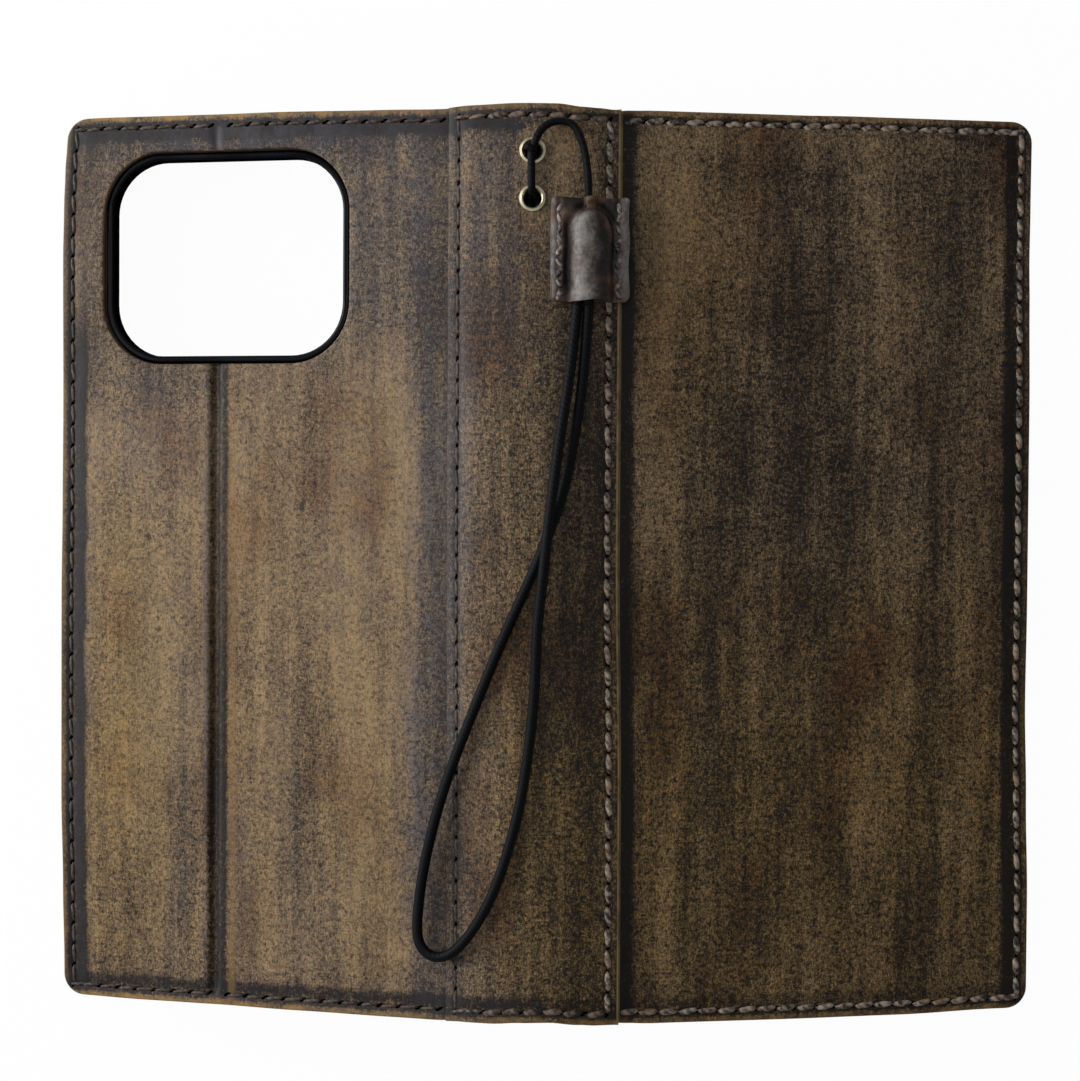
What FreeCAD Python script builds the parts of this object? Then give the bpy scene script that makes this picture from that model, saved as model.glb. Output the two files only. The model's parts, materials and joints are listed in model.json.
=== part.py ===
"""Folding leather case for a large phone, with a card wallet in its front cover and a hand strap.

The case stands face down as a low tent: the back cover on the left, the spine in the middle and the
front cover on the right.  +Z is up, +X runs from the back cover to the front cover, and +Y runs along
the spine to the end with the eyelets.  Lengths are millimetres.  The origin is under the middle of
the case, on the surface that it stands on.
"""
import FreeCAD, Part
import math
import os

import Sketcher

V = FreeCAD.Vector
os.makedirs("parts", exist_ok=True)
doc = FreeCAD.newDocument("phone_case")

# ---------------------------------------------------------------- driving dimensions
SIZES = [
    # the leather shell
    ("case_height", 168.0, "length of the covers along the spine"),
    ("corner_radius", 4.0, "outer corners of both covers"),
    ("cover_leather", 1.6, "thickness of the outer leather"),
    ("lining_leather", 1.0, "thickness of the lining"),
    ("spine_leather", 1.5, "thickness of the leather sewn over the spine"),
    ("back_visible", 75.6, "back cover from its free edge to the spine leather"),
    ("back_flange", 9.2, "spine leather that lies on the back cover"),
    ("spine_span", 14.4, "distance between the two folds of the spine"),
    ("front_flange", 7.0, "spine leather that lies on the front cover"),
    ("front_visible", 79.1, "front cover from the spine leather to its free edge"),
    ("tent_angle", 20.0, "how far the two covers lean from one flat sheet, in degrees"),
    ("fold_gap", 0.3, "gap between pieces that part at a fold"),
    # the crease that lets the back cover prop the phone
    ("strip_width", 30.7, "free edge to the crease"),
    ("crease_width", 3.0, "width of the crease at the surface"),
    ("crease_depth", 1.1, "depth of the crease"),
    # the window round the camera
    ("window_left", 8.3, "free edge to the window"),
    ("window_top", 6.8, "top edge to the window"),
    ("window_width", 48.4, "width of the window"),
    ("window_height", 39.9, "height of the window"),
    ("window_radius", 11.5, "corners of the window"),
    # the phone, and the moulded tray that grips it
    ("phone_length", 160.7, "length of the phone"),
    ("phone_width", 77.6, "width of the phone"),
    ("phone_thickness", 7.9, "thickness of the phone"),
    ("phone_corner", 10.3, "corner radius of the phone"),
    ("phone_clearance", 0.15, "room round the phone"),
    ("tray_wall", 1.2, "side wall of the tray"),
    ("tray_base", 1.4, "back wall of the tray"),
    ("tray_lip", 1.0, "height of the lip that holds the phone in"),
    ("lip_reach", 0.7, "how far the lip reaches over the phone"),
    ("tray_inset", 2.5, "free edge of the case to the tray"),
    ("tray_top", 2.3, "top edge of the case to the tray"),
    ("tray_edge_radius", 0.8, "rounding between the tray's back and its walls"),
    ("adhesive", 0.25, "thickness of the adhesive sheet"),
    ("adhesive_margin", 2.5, "adhesive to the edges of the tray, the crease and the window"),
    ("adhesive_notch", 1.5, "adhesive to the side of the window"),
    ("rim_clearance", 0.25, "camera rim to the window in the leather"),
    ("rim_width", 1.3, "width of the camera rim"),
    ("rim_height", 1.8, "camera rim above the tray's back"),
    ("rim_rounding", 0.45, "rounding of the camera rim's two upper edges"),
    ("slot_height", 6.6, "height of the openings in the tray's walls"),
    ("slot_radius", 3.0, "corners of the openings in the tray's walls"),
    ("cut_start", 1.0, "how far outside a wall each cut through it starts"),
    ("power_low", 16.0, "power button slot, lower end above the middle of the tray"),
    ("power_high", 42.0, "power button slot, upper end above the middle of the tray"),
    ("volume_low", 8.0, "volume and action button slot, lower end"),
    ("volume_high", 53.0, "volume and action button slot, upper end"),
    ("port_width", 42.0, "opening for the connector and the speakers"),
    # pockets in the front cover
    ("pocket_inset", 6.0, "fold of the front cover to the pocket panels"),
    ("bill_leather", 1.0, "thickness of the panel of the note pocket"),
    ("card_leather", 0.8, "thickness of each card pocket"),
    ("upper_pocket_top", 14.0, "mouth of the upper card pocket above the middle"),
    ("lower_pocket_top", -8.0, "mouth of the lower card pocket above the middle"),
    ("notch_radius", 9.0, "thumb notch in each card pocket"),
    ("notch_rise", 4.0, "centre of the thumb notch above the pocket's mouth"),
    # eyelets
    ("eyelet_across", -1.3, "eyelets from the middle of the spine"),
    ("eyelet_top", 8.6, "top edge to the upper eyelet"),
    ("eyelet_pitch", 8.6, "distance between the eyelets"),
    ("eyelet_bore", 3.4, "bore of an eyelet"),
    ("eyelet_flange", 5.0, "outer diameter of an eyelet"),
    ("eyelet_metal", 0.25, "sheet thickness of an eyelet"),
    ("eyelet_roll", 0.6, "height of an eyelet's rolled rim"),
    ("eyelet_room", 0.1, "barrel of an eyelet to its hole in the leather"),
    ("eyelet_lift", 0.02, "flange of an eyelet to the middle of the curved leather"),
    ("washer_diameter", 6.4, "outer diameter of the washer"),
    ("washer_gap", 0.3, "washer to the middle of the curved lining"),
    # hand strap
    ("string_diameter", 1.4, "diameter of the string"),
    ("cord_diameter", 1.9, "diameter of the hand loop's cord"),
    ("keeper_across", 9.0, "middle of the keeper from the middle of the spine"),
    ("keeper_low", 47.6, "mouth of the keeper above the middle of the spine"),
    ("keeper_width", 14.5, "width of the keeper"),
    ("keeper_length", 19.4, "length of the keeper along the spine"),
    ("keeper_leather", 1.1, "thickness of the keeper's leather"),
    ("keeper_corner", 0.8, "corners of the keeper"),
    ("keeper_tilt", 8.0, "lean of the keeper over the curved spine, in degrees"),
    ("keeper_rise", -0.5, "underside of the keeper from the top of the spine"),
    ("bulge_width", 8.2, "width of the moulded channel over the cords"),
    ("bulge_height", 2.6, "height of the moulded channel above the flat of the keeper"),
    ("bulge_wall", 0.9, "leather over the cords"),
    ("bulge_margin", 2.2, "closed end of the channel to the end of the keeper"),
    ("cord_spacing", 2.1, "distance between the cord's two ends in the keeper"),
    ("cord_offset", -0.5, "middle of the two ends from the middle of the keeper"),
    ("cord_room", 0.1, "room under the cords in the keeper"),
    ("string_across", 0.1, "string from the middle of the keeper"),
    ("stub_length", 8.0, "length of the cord's ends inside the keeper"),
]
sizes = doc.addObject("Spreadsheet::Sheet", "sizes")
for row, (alias, value, meaning) in enumerate(SIZES, start=1):
    sizes.set(f"A{row}", meaning)
    sizes.set(f"B{row}", str(value))
    sizes.setAlias(f"B{row}", alias)

# lengths that follow from the driving dimensions
DERIVED = [
    ("stack", "cover_leather + lining_leather", "a cover's leather and lining"),
    ("fold_across", "back_visible + back_flange", "free edge of the back cover to its fold"),
    ("front_width", "front_flange + front_visible", "fold of the front cover to its free edge"),
    ("bend_inner", "spine_span / (2 * sin(tent_angle * 1deg / 2))", "radius inside the curved lining"),
    ("bend_core", "bend_inner + lining_leather", "radius inside the core of the spine"),
    ("bend_leather", "bend_inner + stack", "radius inside the spine leather"),
    ("bend_outer", "bend_leather + spine_leather", "radius outside the spine leather"),
    ("window_right", "window_left + window_width", "free edge to the far side of the window"),
    ("window_high", "case_height / 2 - window_top", "upper side of the window"),
    ("window_low", "window_high - window_height", "lower side of the window"),
    ("tray_length", "phone_length + 2 * phone_clearance + 2 * tray_wall", "length of the tray"),
    ("tray_width", "phone_width + 2 * phone_clearance + 2 * tray_wall", "width of the tray"),
    ("tray_cavity", "phone_thickness + phone_clearance", "depth of the tray's cavity"),
    ("tray_depth", "tray_base + tray_cavity + tray_lip", "depth of the tray"),
    ("tray_far", "tray_inset + tray_width", "free edge of the case to the far wall of the tray"),
    ("tray_high", "case_height / 2 - tray_top", "upper end of the tray"),
    ("tray_low", "tray_high - tray_length", "lower end of the tray"),
    ("tray_middle", "tray_high - tray_length / 2", "middle of the tray"),
    ("eyelet_high", "case_height / 2 - eyelet_top", "upper eyelet above the middle"),
    ("barrel_radius", "eyelet_bore / 2 + eyelet_metal", "outside of an eyelet's barrel"),
    ("washer_top", "stack + spine_leather + washer_gap", "washer below the top of the spine"),
    ("bulge_radius", "(bulge_width ^ 2 / 4 + bulge_height ^ 2) / (2 * bulge_height)", "channel"),
    ("dome_outer", "bulge_height + keeper_leather", "rounding of the channel's closed end"),
    ("dome_inner", "dome_outer - bulge_wall", "rounding inside the channel's closed end"),
    ("cord_level", "keeper_leather + cord_room + cord_diameter / 2", "cord above the keeper's underside"),
]
for row, (alias, formula, meaning) in enumerate(DERIVED, start=len(SIZES) + 1):
    sizes.set(f"A{row}", meaning)
    sizes.set(f"B{row}", "=" + formula)
    sizes.setAlias(f"B{row}", alias)
doc.recompute()


def size(alias):
    """The number in a cell."""
    value = getattr(sizes, alias)
    return float(getattr(value, "Value", value))


def bound(formula):
    """The same formula with each size spelled as a cell of the sheet."""
    words = []
    word = ""
    for letter in formula + " ":
        if letter.isalnum() or letter == "_":
            word += letter
            continue
        words.append("sizes." + word if word in ALIASES else word)
        words.append(letter)
        word = ""
    return "".join(words).strip()


ALIASES = {alias for alias, _, _ in SIZES + DERIVED}


def number(formula):
    """The value of a formula at the present sizes."""
    value = sizes.evalExpression(bound(formula))
    return float(getattr(value, "Value", value))


# ---------------------------------------------------------------- modelling helpers
def new_body(name):
    body = doc.addObject("PartDesign::Body", name)
    body.Label = name
    return body


def new_sketch(body, name, plane, offset=None):
    """A sketch on one of the body's own origin planes, lifted along the plane's normal by a formula."""
    sketch = body.newObject("Sketcher::SketchObject", name)
    support = [f for f in body.Origin.OriginFeatures if f.Role == plane][0]
    sketch.AttachmentSupport = [(support, "")]
    sketch.MapMode = "FlatFace"
    if offset:
        sketch.setExpression("AttachmentOffset.Base.z", bound(offset))
    return sketch


def hold(sketch, kind, geometry, point, formula):
    """Ties one coordinate of a point to a formula, measured from the sketch's origin."""
    if formula == "0":
        axis = -2 if kind == "DistanceX" else -1
        sketch.addConstraint(Sketcher.Constraint("PointOnObject", geometry, point, axis))
        return
    index = sketch.addConstraint(
        Sketcher.Constraint(kind, -1, 1, geometry, point, number(formula))
    )
    sketch.setExpression(f"Constraints[{index}]", bound(formula))


def pin(sketch, geometry, point, across, up):
    """Ties both coordinates of a point."""
    hold(sketch, "DistanceX", geometry, point, across)
    hold(sketch, "DistanceY", geometry, point, up)


def draw_polygon(sketch, corners):
    """Closed outline through corners given as pairs of formulas."""
    places = [V(number(a), number(b), 0) for a, b in corners]
    count = len(places)
    for i in range(count):
        sketch.addGeometry(Part.LineSegment(places[i], places[(i + 1) % count]))
    for i in range(count):
        sketch.addConstraint(Sketcher.Constraint("Coincident", i, 2, (i + 1) % count, 1))
    for i, (a, b) in enumerate(corners):
        pin(sketch, i, 1, a, b)


def draw_rectangle(sketch, left, right, low, high):
    draw_polygon(sketch, [(left, low), (right, low), (right, high), (left, high)])


def draw_rounded(sketch, left, right, low, high, radius):
    """Rectangle with four round corners."""
    x0, x1, y0, y1, r = (number(f) for f in (left, right, low, high, radius))
    sides = [
        (V(x0 + r, y0, 0), V(x1 - r, y0, 0)),
        (V(x1, y0 + r, 0), V(x1, y1 - r, 0)),
        (V(x1 - r, y1, 0), V(x0 + r, y1, 0)),
        (V(x0, y1 - r, 0), V(x0, y0 + r, 0)),
    ]
    corners = [(x1 - r, y0 + r, -90), (x1 - r, y1 - r, 0), (x0 + r, y1 - r, 90), (x0 + r, y0 + r, 180)]
    for start, end in sides:
        sketch.addGeometry(Part.LineSegment(start, end))
    for x, y, first in corners:
        circle = Part.Circle(V(x, y, 0), V(0, 0, 1), r)
        sketch.addGeometry(Part.ArcOfCircle(circle, math.radians(first), math.radians(first + 90)))
    for i in range(4):
        sketch.addConstraint(Sketcher.Constraint("Tangent", i, 2, 4 + i, 1))
        sketch.addConstraint(Sketcher.Constraint("Tangent", 4 + i, 2, (i + 1) % 4, 1))
        sketch.addConstraint(Sketcher.Constraint("Horizontal" if i % 2 == 0 else "Vertical", i))
    for i in range(1, 4):
        sketch.addConstraint(Sketcher.Constraint("Equal", 4, 4 + i))
    index = sketch.addConstraint(Sketcher.Constraint("Radius", 4, r))
    sketch.setExpression(f"Constraints[{index}]", bound(radius))
    for kind, geometry, formula in (
        ("DistanceY", 0, low),
        ("DistanceX", 1, right),
        ("DistanceY", 2, high),
        ("DistanceX", 3, left),
    ):
        hold(sketch, kind, geometry, 1, formula)


def draw_circle(sketch, across, up, radius):
    circle = sketch.addGeometry(
        Part.Circle(V(number(across), number(up), 0), V(0, 0, 1), number(radius))
    )
    pin(sketch, circle, 3, across, up)
    index = sketch.addConstraint(Sketcher.Constraint("Radius", circle, number(radius)))
    sketch.setExpression(f"Constraints[{index}]", bound(radius))


def pad(body, sketch, length, both_ways=False, reverse=False):
    feature = body.newObject("PartDesign::Pad", body.Name + "_pad")
    feature.Profile = sketch
    feature.SideType = "Symmetric" if both_ways else "One side"
    feature.Reversed = reverse
    feature.setExpression("Length", bound(length))
    doc.recompute()
    return feature


def cut(body, sketch, length=None, reverse=False):
    """Pocket of a given depth, or right through both ways when no depth is given."""
    before = body.Shape.Volume
    feature = body.newObject("PartDesign::Pocket", sketch.Name + "_cut")
    feature.Profile = sketch
    if length:
        feature.Reversed = reverse
        feature.setExpression("Length", bound(length))
    else:
        feature.Type = "ThroughAll"
        feature.SideType = "Symmetric"
    doc.recompute()
    if not body.Shape.Volume < before:
        raise RuntimeError(f"{feature.Name} removes nothing")
    return feature


def round_edges(body, kind, radius, chosen):
    """Rounds the edges whose middle point passes the test."""
    tip = body.Tip
    names = []
    for index, edge in enumerate(tip.Shape.Edges, start=1):
        middle = edge.valueAt((edge.FirstParameter + edge.LastParameter) / 2)
        if chosen(edge, middle):
            names.append(f"Edge{index}")
    if not names:
        raise RuntimeError(f"no edge to round on {body.Name}")
    feature = body.newObject("PartDesign::Fillet", f"{body.Name}_{kind}")
    feature.Base = (tip, names)
    feature.setExpression("Radius", bound(radius))
    doc.recompute()
    return feature


def near(a, b):
    return abs(a - b) < 1e-4


# ---------------------------------------------------------------- flat layers of the covers
def layer(name, left, right, low, high, bevel=None):
    """One sheet of leather: its cross-section drawn across the case and run along the spine.

    bevel names the side that slopes down into the crease.
    """
    body = new_body(name)
    outline = new_sketch(body, name + "_section", "XZ_Plane")
    corners = [(left, low), (right, low), (right, high), (left, high)]
    if bevel == "right":
        corners[2:3] = [(right, "-crease_depth"), ("strip_width - crease_width / 2", high)]
    if bevel == "left":
        corners[3:4] = [("strip_width + crease_width / 2", high), (left, "-crease_depth")]
    draw_polygon(outline, corners)
    pad(body, outline, "case_height", both_ways=True)
    return body


def round_corners(body, across, ends=(-1, 1)):
    """Rounds the outer corners of a cover's layer at one or both ends of the case."""
    place = number(across)
    high = [end * size("case_height") / 2 for end in ends]

    def upright_corner(edge, p):
        upright = abs(edge.tangentAt(edge.FirstParameter).z) > 0.99
        return upright and near(p.x, place) and any(near(p.y, y) for y in high)

    return round_edges(body, "corners", "corner_radius", upright_corner)


def cut_window(body):
    window = new_sketch(body, body.Name + "_window", "XY_Plane")
    draw_rounded(window, "window_left", "window_right", "window_low", "window_high", "window_radius")
    cut(body, window)


STRIP_END = "strip_width - fold_gap / 2"
COVER_START = "strip_width + fold_gap / 2"
COVER_END = "fold_across - fold_gap"

strip_leather = layer("stand_strip_leather", "0", STRIP_END, "-cover_leather", "0", bevel="right")
strip_lining = layer("stand_strip_lining", "0", STRIP_END, "-stack", "-cover_leather")
back_leather = layer("back_leather", COVER_START, COVER_END, "-cover_leather", "0", bevel="left")
back_lining = layer("back_lining", COVER_START, COVER_END, "-stack", "-cover_leather")
for sheet in (strip_leather, strip_lining):
    round_corners(sheet, "0")
for sheet in (strip_leather, strip_lining, back_leather, back_lining):
    cut_window(sheet)
spine_on_back = layer("spine_leather_back", "back_visible", COVER_END, "0", "spine_leather")

front_leather = layer("front_leather", "fold_gap", "front_width", "-cover_leather", "0")
front_lining = layer("front_lining", "fold_gap", "front_width", "-stack", "-cover_leather")
spine_on_front = layer("spine_leather_front", "fold_gap", "front_flange", "0", "spine_leather")
for sheet in (front_leather, front_lining):
    round_corners(sheet, "front_width")


# ---------------------------------------------------------------- pockets in the front cover
def pocket_panel(name, low, high, top=None):
    """Panel sewn round three sides; top is the mouth of a card pocket."""
    body = new_body(name)
    outline = new_sketch(body, name + "_outline", "XY_Plane", low)
    draw_rectangle(outline, "pocket_inset", "front_width", "-case_height / 2", top or "case_height / 2")
    pad(body, outline, f"({high}) - ({low})")
    round_corners(body, "front_width", (-1,) if top else (-1, 1))
    if top:
        notch = new_sketch(body, name + "_notch", "XY_Plane")
        draw_circle(notch, "(pocket_inset + front_width) / 2", f"{top} + notch_rise", "notch_radius")
        cut(body, notch)
    return body


BILL_UNDER = "-stack - bill_leather"
UPPER_UNDER = "-stack - bill_leather - card_leather"
LOWER_UNDER = "-stack - bill_leather - 2 * card_leather"
bill_pocket = pocket_panel("note_pocket", BILL_UNDER, "-stack")
upper_pocket = pocket_panel("card_pocket_upper", UPPER_UNDER, BILL_UNDER, "upper_pocket_top")
lower_pocket = pocket_panel("card_pocket_lower", LOWER_UNDER, UPPER_UNDER, "lower_pocket_top")


# ---------------------------------------------------------------- curved layers of the spine
def spine_layer(name, inner, outer, hole):
    """Sheet bent round the spine, turned about the centre of the bend, with holes for the eyelets."""
    body = new_body(name)
    section = new_sketch(body, name + "_section", "YZ_Plane")
    draw_rectangle(section, "-case_height / 2", "case_height / 2", inner, outer)
    turn = body.newObject("PartDesign::Revolution", name + "_bend")
    turn.Profile = section
    turn.ReferenceAxis = (section, ["H_Axis"])
    turn.Midplane = True
    turn.setExpression("Angle", bound("tent_angle"))
    doc.recompute()
    holes = new_sketch(body, name + "_holes", "XY_Plane")
    for place in ("eyelet_high", "eyelet_high - eyelet_pitch"):
        draw_circle(holes, "eyelet_across", place, hole)
    cut(body, holes, "2 * bend_outer", reverse=True)
    return body


EYELET_HOLE = "barrel_radius + eyelet_room"
spine_skin = spine_layer("spine_leather", "bend_leather", "bend_outer", EYELET_HOLE)
spine_core = spine_layer("spine_core", "bend_core", "bend_leather", EYELET_HOLE)
spine_lining = spine_layer("spine_lining", "bend_inner", "bend_core", EYELET_HOLE)


# ---------------------------------------------------------------- the moulded tray
def above(place):
    """A height that is measured from the middle of the tray."""
    return f"tray_middle + {place}"


def make_tray():
    """Tray open towards the phone's screen; its own z = 0 is the face glued to the lining."""
    body = new_body("phone_tray")
    low, high = "tray_low", "tray_high"
    outline = new_sketch(body, "tray_outline", "XY_Plane")
    wall = "tray_wall + phone_clearance"
    outer_radius = f"phone_corner + {wall}"
    draw_rounded(outline, "tray_inset", "tray_far", low, high, outer_radius)
    pad(body, outline, "tray_depth", reverse=True)
    round_edges(body, "back_edge", "tray_edge_radius", lambda edge, p: near(p.z, 0.0))
    rim = new_sketch(body, "camera_rim", "XY_Plane", "-tray_base / 2")
    gap = "rim_clearance"
    draw_rounded(
        rim, f"window_left + {gap}", f"window_right - {gap}", f"window_low + {gap}",
        f"window_high - {gap}", f"window_radius - {gap}",
    )
    raised = body.newObject("PartDesign::Pad", "camera_rim_pad")
    raised.Profile = rim
    raised.setExpression("Length", bound("rim_height + tray_base / 2"))
    doc.recompute()
    room = new_sketch(body, "phone_room", "XY_Plane", "-tray_base")
    draw_rounded(
        room, "tray_inset + tray_wall", "tray_far - tray_wall", f"{low} + tray_wall",
        f"{high} - tray_wall", "phone_corner + phone_clearance",
    )
    cut(body, room, "tray_cavity")
    mouth = new_sketch(body, "phone_mouth", "XY_Plane", "-tray_base - tray_cavity / 2")
    edge = "(tray_wall + phone_clearance + lip_reach)"
    draw_rounded(
        mouth, f"tray_inset + {edge}", f"tray_far - {edge}", f"{low} + {edge}", f"{high} - {edge}",
        "phone_corner - lip_reach",
    )
    cut(body, mouth, "tray_depth")
    lens = new_sketch(body, "camera_hole", "XY_Plane")
    inner = "(rim_clearance + rim_width)"
    draw_rounded(
        lens, f"window_left + {inner}", f"window_right - {inner}", f"window_low + {inner}",
        f"window_high - {inner}", f"window_radius - {inner}",
    )
    cut(body, lens)
    through = "tray_wall + 2 * cut_start"
    middle = "(tray_base + tray_cavity / 2)"
    low_side, high_side = f"-{middle} - slot_height / 2", f"-{middle} + slot_height / 2"
    power = new_sketch(body, "power_slot", "YZ_Plane", "tray_inset - cut_start")
    draw_rounded(power, above("power_low"), above("power_high"), low_side, high_side, "slot_radius")
    cut(body, power, through, reverse=True)
    volume = new_sketch(body, "volume_slot", "YZ_Plane", "tray_far + cut_start")
    draw_rounded(volume, above("volume_low"), above("volume_high"), low_side, high_side, "slot_radius")
    cut(body, volume, through)
    port = new_sketch(body, "port_slot", "XZ_Plane", "cut_start - tray_low")
    centre = "(tray_inset + tray_far) / 2"
    draw_rounded(
        port, f"{centre} - port_width / 2", f"{centre} + port_width / 2", low_side, high_side,
        "slot_radius",
    )
    cut(body, port, through)
    top = size("rim_height")
    round_edges(body, "rim_edges", "rim_rounding", lambda edge, p: near(p.z, top))
    return body


tray = make_tray()


def make_adhesive():
    """Sheet between the tray and the strip beside the crease, cut back round the camera window."""
    body = new_body("tray_adhesive")
    margin = "adhesive_margin"
    outline = new_sketch(body, "adhesive_outline", "XY_Plane")
    corner = f"(phone_corner + {margin})"
    draw_rectangle(
        outline, f"tray_inset + {margin}", f"strip_width - {margin}", f"tray_low + {corner}",
        f"tray_high - {corner}",
    )
    pad(body, outline, "adhesive")
    window = new_sketch(body, "adhesive_window", "XY_Plane")
    draw_rectangle(
        window, "window_left - adhesive_notch", "strip_width", f"window_low - {margin}",
        "tray_high",
    )
    cut(body, window)
    return body


adhesive = make_adhesive()


# ---------------------------------------------------------------- eyelets
def make_eyelet(name):
    """Tubular rivet turned about its own axis; z = 0 lies on the outer leather."""
    body = new_body(name)
    section = new_sketch(body, name + "_section", "XZ_Plane")
    bore, barrel = "eyelet_bore / 2", "barrel_radius"
    flare = "washer_top + 2 * eyelet_metal"
    draw_polygon(
        section,
        [
            (bore, f"-({flare})"),
            (f"{barrel} + 3 * eyelet_metal", f"-({flare})"),
            (f"{barrel} + 3 * eyelet_metal", f"-({flare}) + eyelet_metal"),
            (barrel, f"-({flare}) + eyelet_metal"),
            (barrel, "eyelet_lift"),
            ("eyelet_flange / 2", "eyelet_lift"),
            ("eyelet_flange / 2 - eyelet_metal / 2", "eyelet_roll - eyelet_metal / 2"),
            (f"{bore} + eyelet_metal", "eyelet_roll"),
            (bore, "eyelet_roll - eyelet_metal"),
        ],
    )
    turn = body.newObject("PartDesign::Revolution", name + "_turn")
    turn.Profile = section
    turn.ReferenceAxis = (section, ["V_Axis"])
    turn.Angle = 360.0
    doc.recompute()
    return body


def make_washer(name):
    """Flat ring under the lining, held by the flared end of the eyelet."""
    body = new_body(name)
    outline = new_sketch(body, name + "_outline", "XY_Plane", "-washer_top - eyelet_metal")
    draw_circle(outline, "0", "0", "washer_diameter / 2")
    draw_circle(outline, "0", "0", "barrel_radius + eyelet_room")
    pad(body, outline, "eyelet_metal")
    return body


eyelets = [make_eyelet("eyelet_upper"), make_eyelet("eyelet_lower")]
washers = [make_washer("eyelet_washer_upper"), make_washer("eyelet_washer_lower")]


# ---------------------------------------------------------------- the keeper on the hand strap
def make_keeper_back():
    """Flat half of the keeper; its own origin is the middle of its mouth, z = 0 its underside."""
    body = new_body("keeper_back")
    outline = new_sketch(body, "keeper_back_outline", "XY_Plane")
    draw_rounded(
        outline, "-keeper_width / 2", "keeper_width / 2", "0", "keeper_length", "keeper_corner"
    )
    pad(body, outline, "keeper_leather")
    return body


def bore_for_string(hollow):
    """Hole through the closed end of the keeper's channel, where the string goes in."""
    drill = doc.addObject("Part::Cylinder", "string_bore")
    drill.setExpression("Radius", bound("string_diameter / 2 + cord_room"))
    drill.setExpression("Height", bound("keeper_length"))
    drill.Placement.Rotation = FreeCAD.Rotation(V(1, 0, 0), -90)
    drill.setExpression("Placement.Base.x", bound("string_across"))
    drill.setExpression("Placement.Base.y", bound("keeper_length / 2"))
    drill.setExpression("Placement.Base.z", bound("cord_level"))
    body = doc.addObject("Part::Cut", "keeper_front")
    body.Label = "keeper_front"
    body.Base, body.Tool = hollow, drill
    doc.recompute()
    return body


def make_keeper_front():
    """Half of the keeper that is moulded over the cords, with a round closed end to its channel."""
    plate = doc.addObject("Part::Box", "keeper_plate")
    plate.setExpression("Length", bound("keeper_width"))
    plate.setExpression("Width", bound("keeper_length"))
    plate.setExpression("Height", bound("keeper_leather"))
    plate.setExpression("Placement.Base.x", bound("-keeper_width / 2"))
    plate.setExpression("Placement.Base.z", bound("keeper_leather"))
    halves = []
    for role, radius, length, rounding in (
        ("outer", "bulge_radius", "keeper_length - bulge_margin", size("dome_outer")),
        ("inner", "bulge_radius - bulge_wall", "keeper_length - bulge_margin - bulge_wall",
         size("dome_inner")),
    ):
        barrel = doc.addObject("Part::Cylinder", f"keeper_{role}")
        barrel.setExpression("Radius", bound(radius))
        barrel.setExpression("Height", bound(length))
        barrel.Placement.Rotation = FreeCAD.Rotation(V(1, 0, 0), -90)
        barrel.setExpression("Placement.Base.z", bound("2 * keeper_leather + bulge_height - bulge_radius"))
        doc.recompute()
        end = doc.addObject("Part::Fillet", f"keeper_{role}_end")
        end.Base = barrel
        end.Edges = [
            (index, rounding, rounding)
            for index, edge in enumerate(barrel.Shape.Edges, start=1)
            if edge.Closed and near(edge.CenterOfMass.y, number(length))
        ]
        halves.append(end)
    ceiling = doc.addObject("Part::Box", "keeper_above")
    ceiling.setExpression("Length", bound("keeper_width"))
    ceiling.setExpression("Width", bound("keeper_length"))
    ceiling.setExpression("Height", bound("2 * bulge_height + keeper_leather"))
    ceiling.setExpression("Placement.Base.x", bound("-keeper_width / 2"))
    ceiling.setExpression("Placement.Base.z", bound("keeper_leather"))
    dome = doc.addObject("Part::Common", "keeper_dome")
    dome.Base, dome.Tool = halves[0], ceiling
    solid = doc.addObject("Part::Fuse", "keeper_solid")
    solid.Base, solid.Tool = plate, dome
    hollow = doc.addObject("Part::Cut", "keeper_hollow")
    hollow.Base, hollow.Tool = solid, halves[1]
    doc.recompute()
    return bore_for_string(hollow)


keeper_back = make_keeper_back()
keeper_front = make_keeper_front()


# ---------------------------------------------------------------- cords
# Routes in the spine's own frame: origin on top of the spine's middle, x across, z away from it.
HAND_LOOP = [
    V(7.76, 47.3, 1.85), V(6.7, 40.0, 1.9), V(5.3, 32.0, 2.2), V(4.0, 23.5, 2.8), V(2.75, 14.5, 3.35),
    V(1.55, 5.5, 3.35), V(0.6, -3.0, 2.9), V(-0.7, -11.5, 2.0), V(-1.1, -21.5, 1.35),
    V(-1.9, -32.5, 1.25), V(-3.9, -45.0, 1.2), V(-8.5, -60.0, 0.8), V(-14.6, -69.8, -0.1),
    V(-19.3, -72.4, -1.7), V(-23.6, -69.6, -2.7), V(-23.6, -63.0, -2.9), V(-22.3, -54.0, -2.5),
    V(-18.9, -41.5, -1.1), V(-13.0, -27.0, -0.1), V(-6.7, -12.5, 0.85), V(0.3, 2.0, 1.25),
    V(5.0, 14.5, 1.1), V(7.7, 28.0, 1.0), V(9.3, 39.5, 1.25), V(9.84, 47.3, 1.55),
]
STRING_ANCHOR = [
    V(-1.3, 73.3, 1.35), V(-1.3, 66.8, 1.35), V(-1.3, 66.8, -5.7), V(-1.3, 75.4, -5.7),
    V(-1.3, 75.4, 2.7), V(0.2, 79.3, 2.4), V(2.2, 81.2, 2.0), V(4.45, 81.4, 1.8),
]
STRING_LEAD = [
    V(4.75, 81.4, 1.8), V(6.7, 81.1, 1.8), V(8.3, 77.4, 1.8), V(9.2, 72.4, 1.7), V(9.4, 67.0, 1.62),
    V(9.4, 62.6, 1.62),
]
EYELET_TURN = 0.9    # radius of the string's turns at the eyelets


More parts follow.
